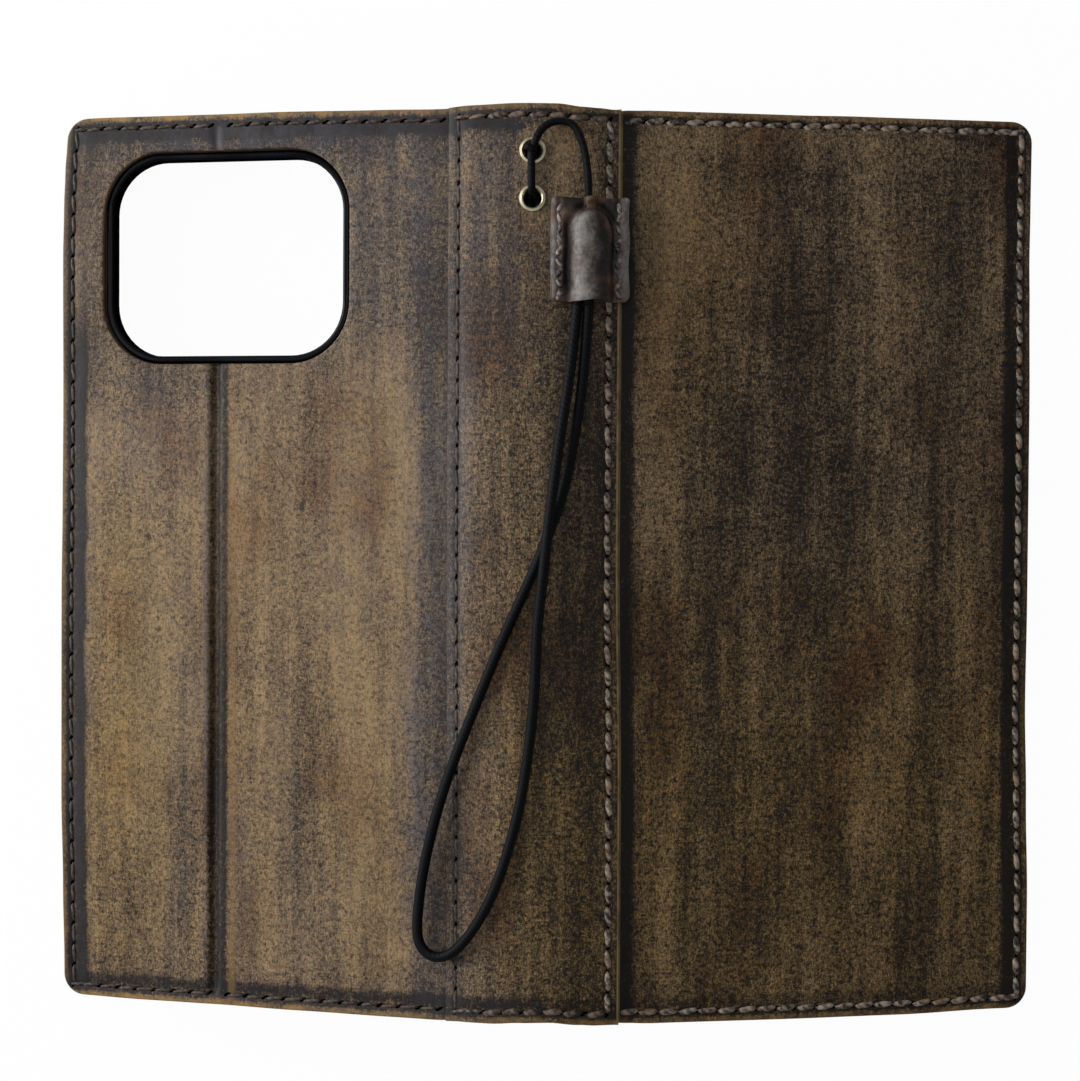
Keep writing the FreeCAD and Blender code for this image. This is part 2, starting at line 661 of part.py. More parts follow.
def corner_radius(before, corner, after):
    """Radius that takes up 0.45 of the shorter run on each side of a corner."""
    run = min((corner - before).Length, (after - corner).Length)
    turn = (corner - before).getAngle(after - corner)
    return 0.45 * run / math.tan(turn / 2)


def make_tube(name, route, diameter, tight=()):
    """Tube along straight runs joined by tangent arcs; tight names the corners at the eyelets."""
    edges = []
    radii = []
    start = route[0]
    for index in range(1, len(route) - 1):
        before, corner, after = route[index - 1:index + 2]
        arrive, leave = (corner - before).normalize(), (after - corner).normalize()
        turn = arrive.getAngle(leave)
        radius = EYELET_TURN if index in tight else corner_radius(before, corner, after)
        reach = radius * math.tan(turn / 2)
        first, last = corner - arrive * reach, corner + leave * reach
        inward = (leave - arrive).normalize()
        middle = corner + inward * (radius / math.cos(turn / 2) - radius)
        edges.append(Part.LineSegment(start, first).toShape())
        edges.append(Part.Arc(first, middle, last).toShape())
        radii.append(round(radius, 1))
        start = last
    edges.append(Part.LineSegment(start, route[-1]).toShape())
    spine = Part.Wire(edges)
    along = (route[1] - route[0]).normalize()
    profile = Part.Wire(Part.Circle(route[0], along, diameter / 2).toShape())
    solid = spine.makePipeShell([profile], True, True)
    section = math.pi * diameter ** 2 / 4
    print(name, "length", round(spine.Length, 1), "radii", radii,
          "volume ratio", round(solid.Volume / (section * spine.Length), 4))
    tube = doc.addObject("Part::Feature", name)
    tube.Label = name
    tube.Shape = solid
    return tube


hand_loop = make_tube("hand_loop", HAND_LOOP, size("cord_diameter"))
string_anchor = make_tube(
    "string_anchor", STRING_ANCHOR, size("string_diameter"), tight=(1, 2, 3, 4)
)
string_lead = make_tube("string_lead", STRING_LEAD, size("string_diameter"))


def make_hitch():
    """The bight of the string that closes round it at the upper eyelet."""
    ring = doc.addObject("Part::Torus", "string_hitch")
    ring.Label = "string_hitch"
    ring.setExpression("Radius1", bound("string_diameter + cord_room / 2"))
    ring.setExpression("Radius2", bound("string_diameter / 2 - cord_room"))
    return ring


string_hitch = make_hitch()


def make_loop_ends():
    """The two ends of the hand loop's cord, held side by side in the keeper."""
    ends = []
    for side in (-1, 1):
        end = doc.addObject("Part::Cylinder", "loop_end_left" if side < 0 else "loop_end_right")
        end.setExpression("Radius", bound("cord_diameter / 2"))
        end.setExpression("Height", bound("stub_length"))
        end.Placement.Rotation = FreeCAD.Rotation(V(1, 0, 0), -90)
        end.setExpression("Placement.Base.x", bound(f"cord_offset + {side} * cord_spacing / 2"))
        end.setExpression("Placement.Base.z", bound("cord_level"))
        ends.append(end)
    pair = doc.addObject("Part::Compound", "loop_ends")
    pair.Label = "loop_ends"
    pair.Links = ends
    doc.recompute()
    return pair


loop_ends = make_loop_ends()

# ---------------------------------------------------------------- how the pieces stand together
DEPTH = size("stack")
HALF_BEND = size("tent_angle") / 2


def turned(angle, base=V(0, 0, 0)):
    """Placement that moves the origin to base and leans it about Y, right side down."""
    return FreeCAD.Placement(base, FreeCAD.Rotation(V(0, 1, 0), angle))


def direction(angle):
    """Unit vector along +X leaned down by an angle."""
    return V(math.cos(math.radians(angle)), 0, -math.sin(math.radians(angle)))


# all in the frame of the back cover: x from its free edge, z = 0 on its outer face
back_fold = V(size("fold_across"), 0, -DEPTH)
front_fold = back_fold + direction(HALF_BEND) * size("spine_span")
bend_centre = (back_fold + front_fold) * 0.5 - turned(HALF_BEND).Rotation.multVec(
    V(0, 0, size("bend_inner") * math.cos(math.radians(HALF_BEND)))
)
back_frame = turned(0)
spine_frame = turned(HALF_BEND, bend_centre)
crown_frame = turned(
    HALF_BEND, bend_centre + spine_frame.Rotation.multVec(V(0, 0, size("bend_outer")))
)
front_rotation = turned(size("tent_angle")).Rotation
front_frame = turned(size("tent_angle"), front_fold + front_rotation.multVec(V(0, 0, DEPTH)))
tray_frame = turned(0, V(0, 0, -DEPTH - size("adhesive")))
keeper_frame = crown_frame.multiply(
    turned(size("keeper_tilt"), V(size("keeper_across"), size("keeper_low"), size("keeper_rise")))
)


def eyelet_frame(place):
    return crown_frame.multiply(turned(0, V(size("eyelet_across"), place, 0)))


upper_eyelet = eyelet_frame(size("eyelet_high"))
lower_eyelet = eyelet_frame(size("eyelet_high") - size("eyelet_pitch"))
hitch_frame = upper_eyelet.multiply(
    turned(0, V(0, 0, size("eyelet_roll") + size("string_diameter") / 2))
)

FRAMES = [
    (back_frame, [strip_leather, strip_lining, back_leather, back_lining, spine_on_back]),
    (tray_frame, [tray, adhesive]),
    (spine_frame, [spine_skin, spine_core, spine_lining]),
    (upper_eyelet, [eyelets[0], washers[0]]),
    (lower_eyelet, [eyelets[1], washers[1]]),
    (hitch_frame, [string_hitch]),
    (crown_frame, [hand_loop, string_anchor, string_lead]),
    (keeper_frame, [keeper_back, keeper_front, loop_ends]),
    (front_frame, [front_leather, front_lining, spine_on_front, bill_pocket, upper_pocket, lower_pocket]),
]
STRAP = [hand_loop, string_anchor, string_lead, string_hitch, keeper_back, keeper_front, loop_ends]
SOLIDS = [item for _, group in FRAMES for item in group]


def settle():
    """Placement of the back cover's frame when the tent stands on its two long edges."""
    left = tray_frame.multVec(V(size("tray_inset"), 0, -size("tray_depth")))
    under = -DEPTH - size("bill_leather") - 2 * size("card_leather")
    right = front_frame.multVec(V(size("front_width"), 0, under))
    lean = -math.degrees(math.atan2(right.z - left.z, right.x - left.x))
    level = turned(-lean)
    return level, level.multVec(left).z


level, floor = settle()
for frame, group in FRAMES:
    for item in group:
        item.Placement = level.multiply(frame)
doc.recompute()
case = Part.makeCompound([item.Shape for item in SOLIDS if item not in STRAP])
across = [vertex.Point.x for vertex in case.Vertexes]
shift = V(-(min(across) + max(across)) / 2, 0, -floor)
for item in SOLIDS:
    item.Placement = FreeCAD.Placement(shift, FreeCAD.Rotation()).multiply(item.Placement)
doc.recompute()

# ---------------------------------------------------------------- checks and export
for item in doc.Objects:
    if "Invalid" in item.State or "Error" in item.State:
        raise RuntimeError(f"{item.Name} failed: {item.State}")
for item in SOLIDS:
    if item.Shape.isNull() or not item.Shape.isValid() or not item.Shape.Solids:
        raise RuntimeError(f"{item.Label} has no valid solid")
    item.Shape.exportStep(os.path.join("parts", item.Label + ".step"))
whole = Part.makeCompound([item.Shape for item in SOLIDS]).BoundBox
print("solids", len(SOLIDS), "box", [round(v, 2) for v in (whole.XMin, whole.XMax, whole.YMin,
      whole.YMax, whole.ZMin, whole.ZMax)])
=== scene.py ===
# %% [markdown]
# # A folding leather phone case
# The case lies face down like a low tent: the back cover on the left, the rounded spine in
# the middle and the front cover on the right. This lesson dresses the imported solids in
# leather, thread, brass and cord. The first cell loads them.

# %% Load the imported model
import json
import math
import random

import bmesh
import bpy
from mathutils import Matrix, Vector


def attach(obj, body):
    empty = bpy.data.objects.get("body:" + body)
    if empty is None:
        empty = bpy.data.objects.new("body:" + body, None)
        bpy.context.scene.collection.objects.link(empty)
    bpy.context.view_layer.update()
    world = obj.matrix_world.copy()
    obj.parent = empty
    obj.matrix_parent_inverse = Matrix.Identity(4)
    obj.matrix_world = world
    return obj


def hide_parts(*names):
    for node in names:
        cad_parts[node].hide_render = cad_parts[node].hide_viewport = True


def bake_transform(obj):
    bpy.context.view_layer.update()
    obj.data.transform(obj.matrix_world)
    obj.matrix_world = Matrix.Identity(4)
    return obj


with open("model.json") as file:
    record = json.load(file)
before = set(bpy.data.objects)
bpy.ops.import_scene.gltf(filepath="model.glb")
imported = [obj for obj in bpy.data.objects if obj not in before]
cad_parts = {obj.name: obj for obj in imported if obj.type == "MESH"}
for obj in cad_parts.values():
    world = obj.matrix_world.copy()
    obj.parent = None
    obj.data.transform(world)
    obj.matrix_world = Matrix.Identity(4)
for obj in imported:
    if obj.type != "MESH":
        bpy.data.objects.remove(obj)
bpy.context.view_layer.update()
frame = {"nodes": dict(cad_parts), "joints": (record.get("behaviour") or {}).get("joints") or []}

MM = 0.001

# %% [markdown]
# ## One flat pattern for the whole case
# A leather worker cuts every layer flat and lays them over the spine together. The same idea
# makes modelling easy: each sheet is drawn flat, with `a` running across the case from the
# middle of the spine, `v` running along the spine and `n` the height over the top of the
# spine leather. One function then lays any point of that pattern on the standing case.

# %% Where the folds are
fold = {joint["name"]: Vector(joint["pos_m"]) for joint in frame["joints"]}
HALF_BEND = math.radians(10)
COVER_STACK = 2.6 * MM      # outer leather and lining
SPINE_SKIN = 1.5 * MM       # leather sewn over the spine
HALF_HEIGHT = 84.0 * MM

across = fold["cover_fold"] - fold["spine_fold"]
spine_lean = math.atan2(across.z, across.x)
bend_inner = across.length / (2 * math.sin(HALF_BEND))
bend_outer = bend_inner + COVER_STACK + SPINE_SKIN
half_arc = bend_outer * HALF_BEND


def leaning(lean, origin):
    """A frame whose X climbs to the right by an angle."""
    return Matrix.Translation(origin) @ Matrix.Rotation(-lean, 4, "Y")


back_panel = leaning(spine_lean + HALF_BEND, fold["spine_fold"])
front_panel = leaning(spine_lean - HALF_BEND, fold["cover_fold"])
middle = (fold["spine_fold"] + fold["cover_fold"]) / 2
spine_centre = leaning(spine_lean, middle) @ Matrix.Translation(
    (0, 0, -bend_inner * math.cos(HALF_BEND)))
crown = spine_centre @ Matrix.Translation((0, 0, bend_outer))


def follow(points, x):
    """A value eased between given points."""
    if x <= points[0][0]:
        return points[0][1]
    for (x0, y0), (x1, y1) in zip(points, points[1:]):
        if x <= x1:
            t = (x - x0) / (x1 - x0)
            return y0 + (y1 - y0) * t * t * (3 - 2 * t)
    return points[-1][1]


def fade(value):
    return min(max(value, 0.0), 1.0)


# how far the hand-cut leather strays from a true rectangle, in mm
LOW_EDGE = [(-93, 0.85), (-75, 0.48), (-63, 0.4), (-45, 0.1), (-27, -0.1), (-19, -0.17), (-13.6, 0.12),
            (-8.2, 0.12), (-2.8, 0.46), (2.7, 0.55), (8.2, 0.05), (10.9, -0.16), (13.6, -0.14),
            (16.5, -0.28), (22.3, -0.5), (48, -0.57), (69, -0.47), (89, 0.08), (94, 0.1)]
TOP_EDGE = [(-93, -0.3), (-85, -0.1), (-62, -0.1), (-50, 0.0), (-30, -0.2), (-19, -0.38), (-13, -0.15),
            (-4, 0.05), (3, 0.0), (8, -0.5), (11, -0.64), (13.6, -0.85), (16.5, -0.6), (22, -0.44),
            (48, -0.34), (60, -0.17), (94, -0.1)]
LEFT_EDGE = [(-84, 0.6), (-78, 0.56), (-63, 0.25), (-44, -0.12), (-7, -0.12), (11, 0.08), (30, 0.2), (58, 0.12),
             (67, 0.3), (75, 0.6), (80, 1.0), (84, 1.1)]
RIGHT_EDGE = [(-84, 0.95), (-63, 0.94), (-44, 0.5), (-26, 0.08), (-7, 0.24), (30, 0.23), (49, 0.02), (58, -0.14),
              (67, -0.06), (84, 0.05)]
SEAM_LEAN = [(-84, 1.0), (-44, 0.9), (5, 0.0)]


def wander(a, v):
    """The small unevenness of leather that is cut and sewn by hand."""
    x, y = a / MM, v / MM
    down = fade(-y / 84) ** 2
    rise = follow(LOW_EDGE, x) * down + follow(TOP_EDGE, x) * fade(y / 84) ** 3
    side = follow(LEFT_EDGE, y) * fade((-62 - x) / 30)
    side += follow(RIGHT_EDGE, y) * fade((x - 20) / 74)
    side += follow(SEAM_LEAN, y) * (0.85 * fade(1 - abs(x - 14) / 6.5) + 0.37 * fade(1 - abs(x + 17) / 7))
    return a + side * MM, v + rise * MM


def lay(a, v, n):
    """The standing place of a point of the flat pattern."""
    a, v = wander(a, v)
    if abs(a) <= half_arc:
        turn = a / bend_outer
        radius = bend_outer + n
        return spine_centre @ Vector((radius * math.sin(turn), v, radius * math.cos(turn)))
    height = n + COVER_STACK + SPINE_SKIN
    if a < 0:
        return back_panel @ Vector((a + half_arc, v, height))
    return front_panel @ Vector((a - half_arc, v, height))


def lay_frame(a, v, n):
    """The same place as a frame: X across the case, Y along the spine, Z out of the leather."""
    step = 0.05 * MM
    x = (lay(a + step, v, n) - lay(a - step, v, n)).normalized()
    y = Vector((0, 1, 0))
    turned = Matrix((x, y, x.cross(y))).transposed().to_4x4()
    return Matrix.Translation(lay(a, v, n)) @ turned


BACK_EDGE = -(84.8 * MM + half_arc)
FRONT_EDGE = 86.1 * MM + half_arc
CREASE = BACK_EDGE + 30.7 * MM
LEFT_SEAM_EDGE = -(9.2 * MM + half_arc)
RIGHT_SEAM_EDGE = 7.0 * MM + half_arc
COVER_TOP = -SPINE_SKIN
print("pattern, mm:", [round(x / MM, 2) for x in (BACK_EDGE, CREASE, -half_arc, half_arc, FRONT_EDGE)])

# %% Selecting, linking, copying and dressing objects
def pick_none():
    if bpy.context.object and bpy.context.object.mode != "OBJECT":
        bpy.ops.object.mode_set(mode="OBJECT")
    bpy.ops.object.select_all(action="DESELECT")


def pick_only(item):
    pick_none()
    item.select_set(True)
    bpy.context.view_layer.objects.active = item


def link_new(name, data):
    item = bpy.data.objects.new(name, data)
    bpy.context.scene.collection.objects.link(item)
    return item


def copy_to(master, matrix):
    """A copy of a small piece, with a mesh of its own, moved to its place."""
    part = master.copy()
    part.data = master.data.copy()
    part.data.transform(matrix)
    bpy.context.scene.collection.objects.link(part)
    return part


def dress(item, finish):
    item.data.materials.clear()
    item.data.materials.append(finish)


# %% [markdown]
# ## Camera, floor and light
# The case is seen from above with a longish lens. The room is white for the camera, and a
# little of the floor's real shading is mixed in so that it keeps a soft shadow. The main lamp is a
# wide one on the left, which lights the back cover well and lets the front cover fall away.

# %% Camera
camera_data = bpy.data.cameras.new("camera")
camera = link_new("camera", camera_data)
camera_data.sensor_width = 36.0
camera_data.lens = 67.9
camera_data.clip_start = 0.01
right = Vector((0.99818, 0.00672, -0.05994)).normalized()
backward = Vector((0.05976, 0.02361, 0.99793)).normalized()
upward = backward.cross(right).normalized()
right = upward.cross(backward)
camera.matrix_world = Matrix.Translation((0.0227, 0.01357, 0.39577)) @ Matrix(
    (right, upward, backward)).transposed().to_4x4()
bpy.context.scene.camera = camera
bpy.context.scene.view_settings.view_transform = "Standard"


# %% [markdown]
# ## A small kit for materials
# Every finish here is worked out by nodes. The class below only saves typing: it adds a node,
# joins a socket or sets a number, and returns the socket that carries the result.

# %% The material kit
class Finish:
    """A material being built round one Principled shader."""

    def __init__(self, name):
        self.material = bpy.data.materials.new(name)
        self.material.use_nodes = True
        self.tree = self.material.node_tree
        self.tree.nodes.clear()
        self.shader = self.tree.nodes.new("ShaderNodeBsdfPrincipled")
        self.output = self.tree.nodes.new("ShaderNodeOutputMaterial")
        self.tree.links.new(self.shader.outputs[0], self.output.inputs[0])

    def add(self, kind, inputs=None, **settings):
        node = self.tree.nodes.new("ShaderNode" + kind)
        for key, value in settings.items():
            setattr(node, key, value)
        for key, value in (inputs or {}).items():
            self.put(node.inputs[key], value)
        return node

    def put(self, socket, value):
        if isinstance(value, bpy.types.NodeSocket):
            self.tree.links.new(value, socket)
        else:
            socket.default_value = value

    def math(self, operation, first, second=0.0, clamp=False):
        return self.add("Math", {0: first, 1: second}, operation=operation, use_clamp=clamp).outputs[0]

    def chain(self, operation, values):
        """One math node after another, from left to right."""
        total, *others = values
        for value in others:
            total = self.math(operation, total, value)
        return total

    def times(self, *values):
        return self.chain("MULTIPLY", values)

    def plus(self, *values):
        return self.chain("ADD", values)

    def minus(self, *values):
        return self.chain("SUBTRACT", values)

    def least(self, *values):
        return self.chain("MINIMUM", values)

    def most(self, *values):
        return self.chain("MAXIMUM", values)

    def swing(self, noise, amount):
        """A noise turned into a change up or down."""
        return self.times(self.minus(noise, 0.5), amount)

    def surface(self):
        return self.add("TexCoord").outputs["Object"]

    def hide(self):
        """The place on the flat pattern."""
        return self.add("UVMap", uv_map="hide").outputs[0]

    def painted(self, name):
        return self.add("Attribute", attribute_name=name).outputs["Fac"]

    def between(self, value, low, high, to_low=0.0, to_high=1.0):
        node = self.add("MapRange", {"Value": value, "From Min": low, "From Max": high,
                                     "To Min": to_low, "To Max": to_high},
                        interpolation_type="SMOOTHSTEP")
        return node.outputs[0]

    def band(self, value, low, high, soft):
        rise = self.between(value, low - soft, low + soft)
        fall = self.between(value, high - soft, high + soft, 1.0, 0.0)
        return self.times(rise, fall)

    def noise(self, where, stretch, detail=4.0, roughness=0.55, shift=(0, 0, 0)):
        placed = self.add("Mapping", {"Vector": where, "Location": shift, "Scale": stretch})
        return self.add("TexNoise", {"Vector": placed.outputs[0], "Scale": 1.0, "Detail": detail,
                                     "Roughness": roughness}).outputs[0]

    def ramp(self, factor, stops):
        node = self.add("ValToRGB", {0: factor})
        bar = node.color_ramp
        while len(bar.elements) < len(stops):
            bar.elements.new(0.5)
        for element, (place, colour) in zip(bar.elements, stops):
            element.position = place
            element.color = (*colour, 1.0)
        return node.outputs[0]

    def mix(self, factor, first, second, blend="MIX"):
        node = self.add("Mix", data_type="RGBA", blend_type=blend)
        for socket, value in zip((node.inputs[0], node.inputs[6], node.inputs[7]), (factor, first, second)):
            self.put(socket, (*value, 1.0) if isinstance(value, tuple) and len(value) == 3 else value)
        return node.outputs[2]

    def bump(self, height, strength, distance, under=None):
        node = self.add("Bump", {"Strength": strength, "Distance": distance, "Height": height})
        if under is not None:
            self.put(node.inputs["Normal"], under)
        return node.outputs[0]

    def set(self, **values):
        names = {"colour": "Base Color", "roughness": "Roughness", "metallic": "Metallic",
                 "normal": "Normal", "gloss": "Specular IOR Level", "coat": "Coat Weight",
                 "coat_roughness": "Coat Roughness", "sheen": "Sheen Weight"}
        for key, value in values.items():
            if isinstance(value, tuple) and len(value) == 3:
                value = (*value, 1.0)
            self.put(self.shader.inputs[names[key]], value)
        return self.material


def tone(red, green, blue):
    """A colour as the eye reads it on a screen, 0 to 255, turned into light."""
    def one(c):
        c /= 255
        return c / 12.92 if c <= 0.04045 else ((c + 0.055) / 1.055) ** 2.4
    return (one(red), one(green), one(blue))


# %% Floor
WHITE_SHARE = 0.965     # how much of the floor's own shading gives way to plain white
pick_none()
bpy.ops.mesh.primitive_plane_add(size=3.0, location=(0, 0, 0))
floor = bpy.context.object
floor.name = "floor"
paper = Finish("white_floor")
paper.set(colour=(0.9, 0.9, 0.9), roughness=0.9, gloss=0.2)
rays = paper.add("LightPath")
mirrored = paper.most(rays.outputs["Is Glossy Ray"], rays.outputs["Is Transmission Ray"])
glow = paper.add("Emission", {"Color": (1, 1, 1, 1), "Strength": 1.0})
lit = paper.add("MixShader", {0: paper.times(mirrored, WHITE_SHARE), 1: paper.shader.outputs[0],
                              2: glow.outputs[0]})
# seen from the camera the paper lets the white room through, and from below it hides nothing
clear = paper.add("BsdfTransparent")
through = paper.most(paper.times(rays.outputs["Is Camera Ray"], WHITE_SHARE),
                     paper.add("NewGeometry").outputs["Backfacing"])
blended = paper.add("MixShader", {0: through, 1: lit.outputs[0], 2: clear.outputs[0]})
paper.put(paper.output.inputs[0], blended.outputs[0])
floor.data.materials.append(paper.material)


# %% Lamps and surroundings
def lamp(name, place, aim, size, power):
    """A soft rectangular lamp that points at a spot."""
    data = bpy.data.lights.new(name, "AREA")
    data.shape = "RECTANGLE"
    data.size, data.size_y = size
    data.energy = power
    item = link_new(name, data)
    item.location = place
    item.rotation_euler = (Vector(aim) - Vector(place)).to_track_quat("-Z", "Y").to_euler()


lamp("left_window", (-0.62, 0.16, 0.28), (-0.02, 0.0, 0.0), (0.45, 0.6), 6.6)
lamp("soft_top", (-0.05, 0.12, 0.85), (0, 0, 0), (0.34, 0.34), 0.95)

ROOM_LIGHT = 0.22       # the camera sees the room as white, and the case is lit by this much
world = bpy.data.worlds.new("plain_room")
bpy.context.scene.world = world
world.use_nodes = True
room = world.node_tree
background = room.nodes["Background"]
background.inputs[0].default_value = (1, 1, 1, 1)
strength = room.nodes.new("ShaderNodeMapRange")
strength.inputs["To Min"].default_value = ROOM_LIGHT
room.links.new(room.nodes.new("ShaderNodeLightPath").outputs["Is Camera Ray"], strength.inputs["Value"])
room.links.new(strength.outputs[0], background.inputs[1])

# %% [markdown]
# ## Cords
# The hand loop is one elastic cord with a woven sleeve. A NURBS spline gives the soft, slightly
# springy line of such a cord, and its points are the ones the solid follows. The cord turns
# from the keeper into the loop, and it is made into a mesh.

# %% The routes of the cords, in the frame of the top of the spine
HAND_LOOP = [
    (7.0, 47.3, 1.85), (6.3, 40.0, 1.9), (5.3, 32.0, 2.2), (4.0, 23.5, 2.8), (2.85, 14.5, 3.35),
    (1.8, 5.5, 3.35), (1.0, -3.0, 2.9), (0.05, -11.5, 2.05), (-0.2, -21.5, 1.4),
    (-1.15, -32.5, 1.3), (-3.0, -45.0, 1.25), (-7.4, -60.0, 0.95), (-13.4, -69.8, 0.2),
    (-18.0, -72.4, -1.2), (-21.7, -69.8, -2.1), (-21.6, -63.0, -2.25), (-20.3, -54.0, -1.85),
    (-17.2, -41.5, -0.65), (-11.75, -27.0, 0.1), (-5.95, -12.5, 0.9), (0.65, 2.0, 1.3),
    (5.1, 14.5, 1.1), (7.4, 28.0, 1.0), (8.6, 39.5, 1.25), (9.0, 47.3, 1.55),
]
STRING = [
    (-1.5, 74.9, 1.5), (-1.5, 71.5, 1.3), (-1.4, 67.6, 1.5), (-1.3, 67.4, -5.7), (-1.3, 75.4, -5.7),
    (-1.3, 75.4, 2.7), (-0.1, 78.5, 2.4), (1.8, 80.2, 2.0), (4.1, 80.5, 1.8),
    (6.2, 79.9, 1.8), (7.8, 76.6, 1.8), (8.7, 72.0, 1.7), (8.9, 67.0, 1.62), (8.9, 62.6, 1.62),
]


# %% Turning a route into a cord
def on_crown(points):
    return [crown @ (Vector(p) * MM) for p in points]


def route_curve(name, points, radius):
    """An open NURBS spline through the given control points, with a round section."""
    curve = bpy.data.curves.new(name, "CURVE")
    curve.dimensions = "3D"
    spline = curve.splines.new("NURBS")
    spline.points.add(len(points) - 1)
    for control, place in zip(spline.points, points):
        control.co = (*place, 1.0)
    spline.order_u = 3
    spline.use_endpoint_u = True
    spline.resolution_u = 8
    curve.bevel_depth = radius
    curve.bevel_resolution = 4
    curve.use_fill_caps = True
    return link_new(name, curve)


def centre_line(name, points):
    """The points along the spline itself, read from a copy with no thickness."""
    bare = route_curve(name, points, 0.0)
    bare.data.use_fill_caps = False
    bpy.context.view_layer.update()
    line = bpy.data.meshes.new_from_object(bare.evaluated_get(bpy.context.evaluated_depsgraph_get()))
    places = [v.co.copy() for v in line.vertices]
    bpy.data.objects.remove(bare)
    bpy.data.meshes.remove(line)
    return places


def make_cord(name, points, radius):
    """The cord as a mesh, with the line that it follows."""
    path = centre_line(name + "_line", points)
    pick_only(route_curve(name, points, radius))
    bpy.ops.object.convert(target="MESH")
    cord = bpy.context.object
    bpy.ops.object.shade_smooth()
    length = sum((b - a).length for a, b in zip(path, path[1:]))
    print(name, "length, mm:", round(length / MM, 1))
    return cord, path, length


hand_loop, loop_path, loop_length = make_cord("hand_loop_cord", on_crown(HAND_LOOP), 0.95 * MM)
string, string_path, string_length = make_cord("strap_string", on_crown(STRING), 0.7 * MM)


# %% Finish of the cords
def woven_cord(name, colour):
    """Two sets of slanting threads on the cord's own surface."""
    finish = Finish(name)
    surface = finish.surface()
    fine = finish.noise(surface, (2600, 2600, 2600), 3.0)
    spread = finish.add("TexWave", {"Vector": surface, "Scale": 620.0, "Distortion": 2.0, "Detail": 2.0},
                        bands_direction="DIAGONAL").outputs[1]
    threads = finish.math("MULTIPLY_ADD", spread, 0.7)
    finish.put(threads.node.inputs[2], finish.times(fine, 0.3))
    dark, light = tuple(c * 0.45 for c in colour), tuple(c * 1.4 for c in colour)
    shade = finish.ramp(threads, [(0.2, dark), (0.8, light)])
    return finish.set(colour=shade, roughness=0.6, gloss=0.12, sheen=0.0,
                      normal=finish.bump(threads, 0.5, 0.00012))


cord_black = woven_cord("cord_black", tone(5, 6, 10))
for piece in (hand_loop, string):
    dress(piece, cord_black)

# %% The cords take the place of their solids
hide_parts("hand_loop")
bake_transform(hand_loop)
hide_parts("string_anchor", "string_lead")
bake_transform(string)

# %% [markdown]
# ## Leather, cut flat and laid over the spine
# Every sheet of this case is a flat cut with a thin edge, so it is modelled as it is made: a
# plane at its real size, extruded down by the thickness of the leather, with its corners
# rounded and its rim softened by the bevel tool. It is then sliced across where it must bend,
# given its relief point by point, and laid on the standing case by `lay`. Its flat place is
# kept in a UV map named `hide`, so the grain follows the leather however it folds.

# %% Picking parts of a mesh by their place
KINDS = {"verts": "VERT", "edges": "EDGE", "faces": "FACE"}


def pick(item, kind, test):
    """Selects, in edit mode, the parts of a mesh that pass a test, and counts them."""
    if bpy.context.mode != "EDIT_MESH" or bpy.context.view_layer.objects.active != item:
        pick_only(item)
        bpy.ops.object.mode_set(mode="EDIT")
    bpy.ops.mesh.select_mode(type=KINDS[kind])
    bpy.ops.mesh.select_all(action="DESELECT")
    shape = bmesh.from_edit_mesh(item.data)
    chosen = [part for part in getattr(shape, kind) if test(part)]
    for part in chosen:
        part.select_set(True)
    shape.select_flush_mode()
    bmesh.update_edit_mesh(item.data)
    return len(chosen)


# %% Cutting a flat sheet
def cut_sheet(name, left, right, low, high, top, thickness):
    """A rectangle of leather with its upper face at a height, extruded down."""
    pick_none()
    bpy.ops.mesh.primitive_plane_add(size=1.0, location=((left + right) / 2, (low + high) / 2, top))
    sheet = bpy.context.object
    sheet.name = name
    sheet.scale = (right - left, high - low, 1.0)
    bpy.ops.object.transform_apply()
    bpy.ops.object.mode_set(mode="EDIT")
    bpy.ops.mesh.select_all(action="SELECT")
    bpy.ops.mesh.extrude_region_move(TRANSFORM_OT_translate={"value": (0, 0, -thickness)})
    bpy.ops.mesh.select_all(action="SELECT")
    bpy.ops.mesh.normals_make_consistent(inside=False)
    return sheet


def upright(edge):
    a, b = (v.co for v in edge.verts)
    return abs(a.z - b.z) > 0.3 * MM and (a - b).to_2d().length < 0.01 * MM


def round_corners(sheet, side, radius, segments=8):
    """Rounds the corners of a sheet on one side, given as its place across."""
    pick(sheet, "edges", lambda e: upright(e) and abs(e.verts[0].co.x - side) < 0.01 * MM)
    bpy.ops.mesh.bevel(offset=radius, segments=segments, affect="EDGES")


def soften_rim(sheet, width, butt=(), segments=3):
    """Bevels the rim of both faces, but not where the sheet meets its neighbour."""
    def sharp(edge):
        if len(edge.link_faces) != 2:
            return False
        low, high = sorted(abs(face.normal.z) for face in edge.link_faces)
        meets = any(all(abs(v.co.x - side) < 0.01 * MM for v in edge.verts) for side in butt)
        return low < 0.1 and high > 0.9 and not meets
    pick(sheet, "edges", sharp)
    bpy.ops.mesh.bevel(offset=width, segments=segments, affect="EDGES")


def slice_sheet(sheet, across=(), along=()):
    """Cuts a sheet into strips, so that it can bend and carry relief."""
    pick(sheet, "verts", lambda v: True)
    for place in across:
        bpy.ops.mesh.select_all(action="SELECT")
        bpy.ops.mesh.bisect(plane_co=(place, 0, 0), plane_no=(1, 0, 0))
    for place in along:
        bpy.ops.mesh.select_all(action="SELECT")
        bpy.ops.mesh.bisect(plane_co=(0, place, 0), plane_no=(0, 1, 0))


def steps(low, high, size):
    """Evenly spaced places strictly between two ends."""
    count = max(1, round((high - low) / size))
    return [low + (high - low) * i / count for i in range(1, count)]


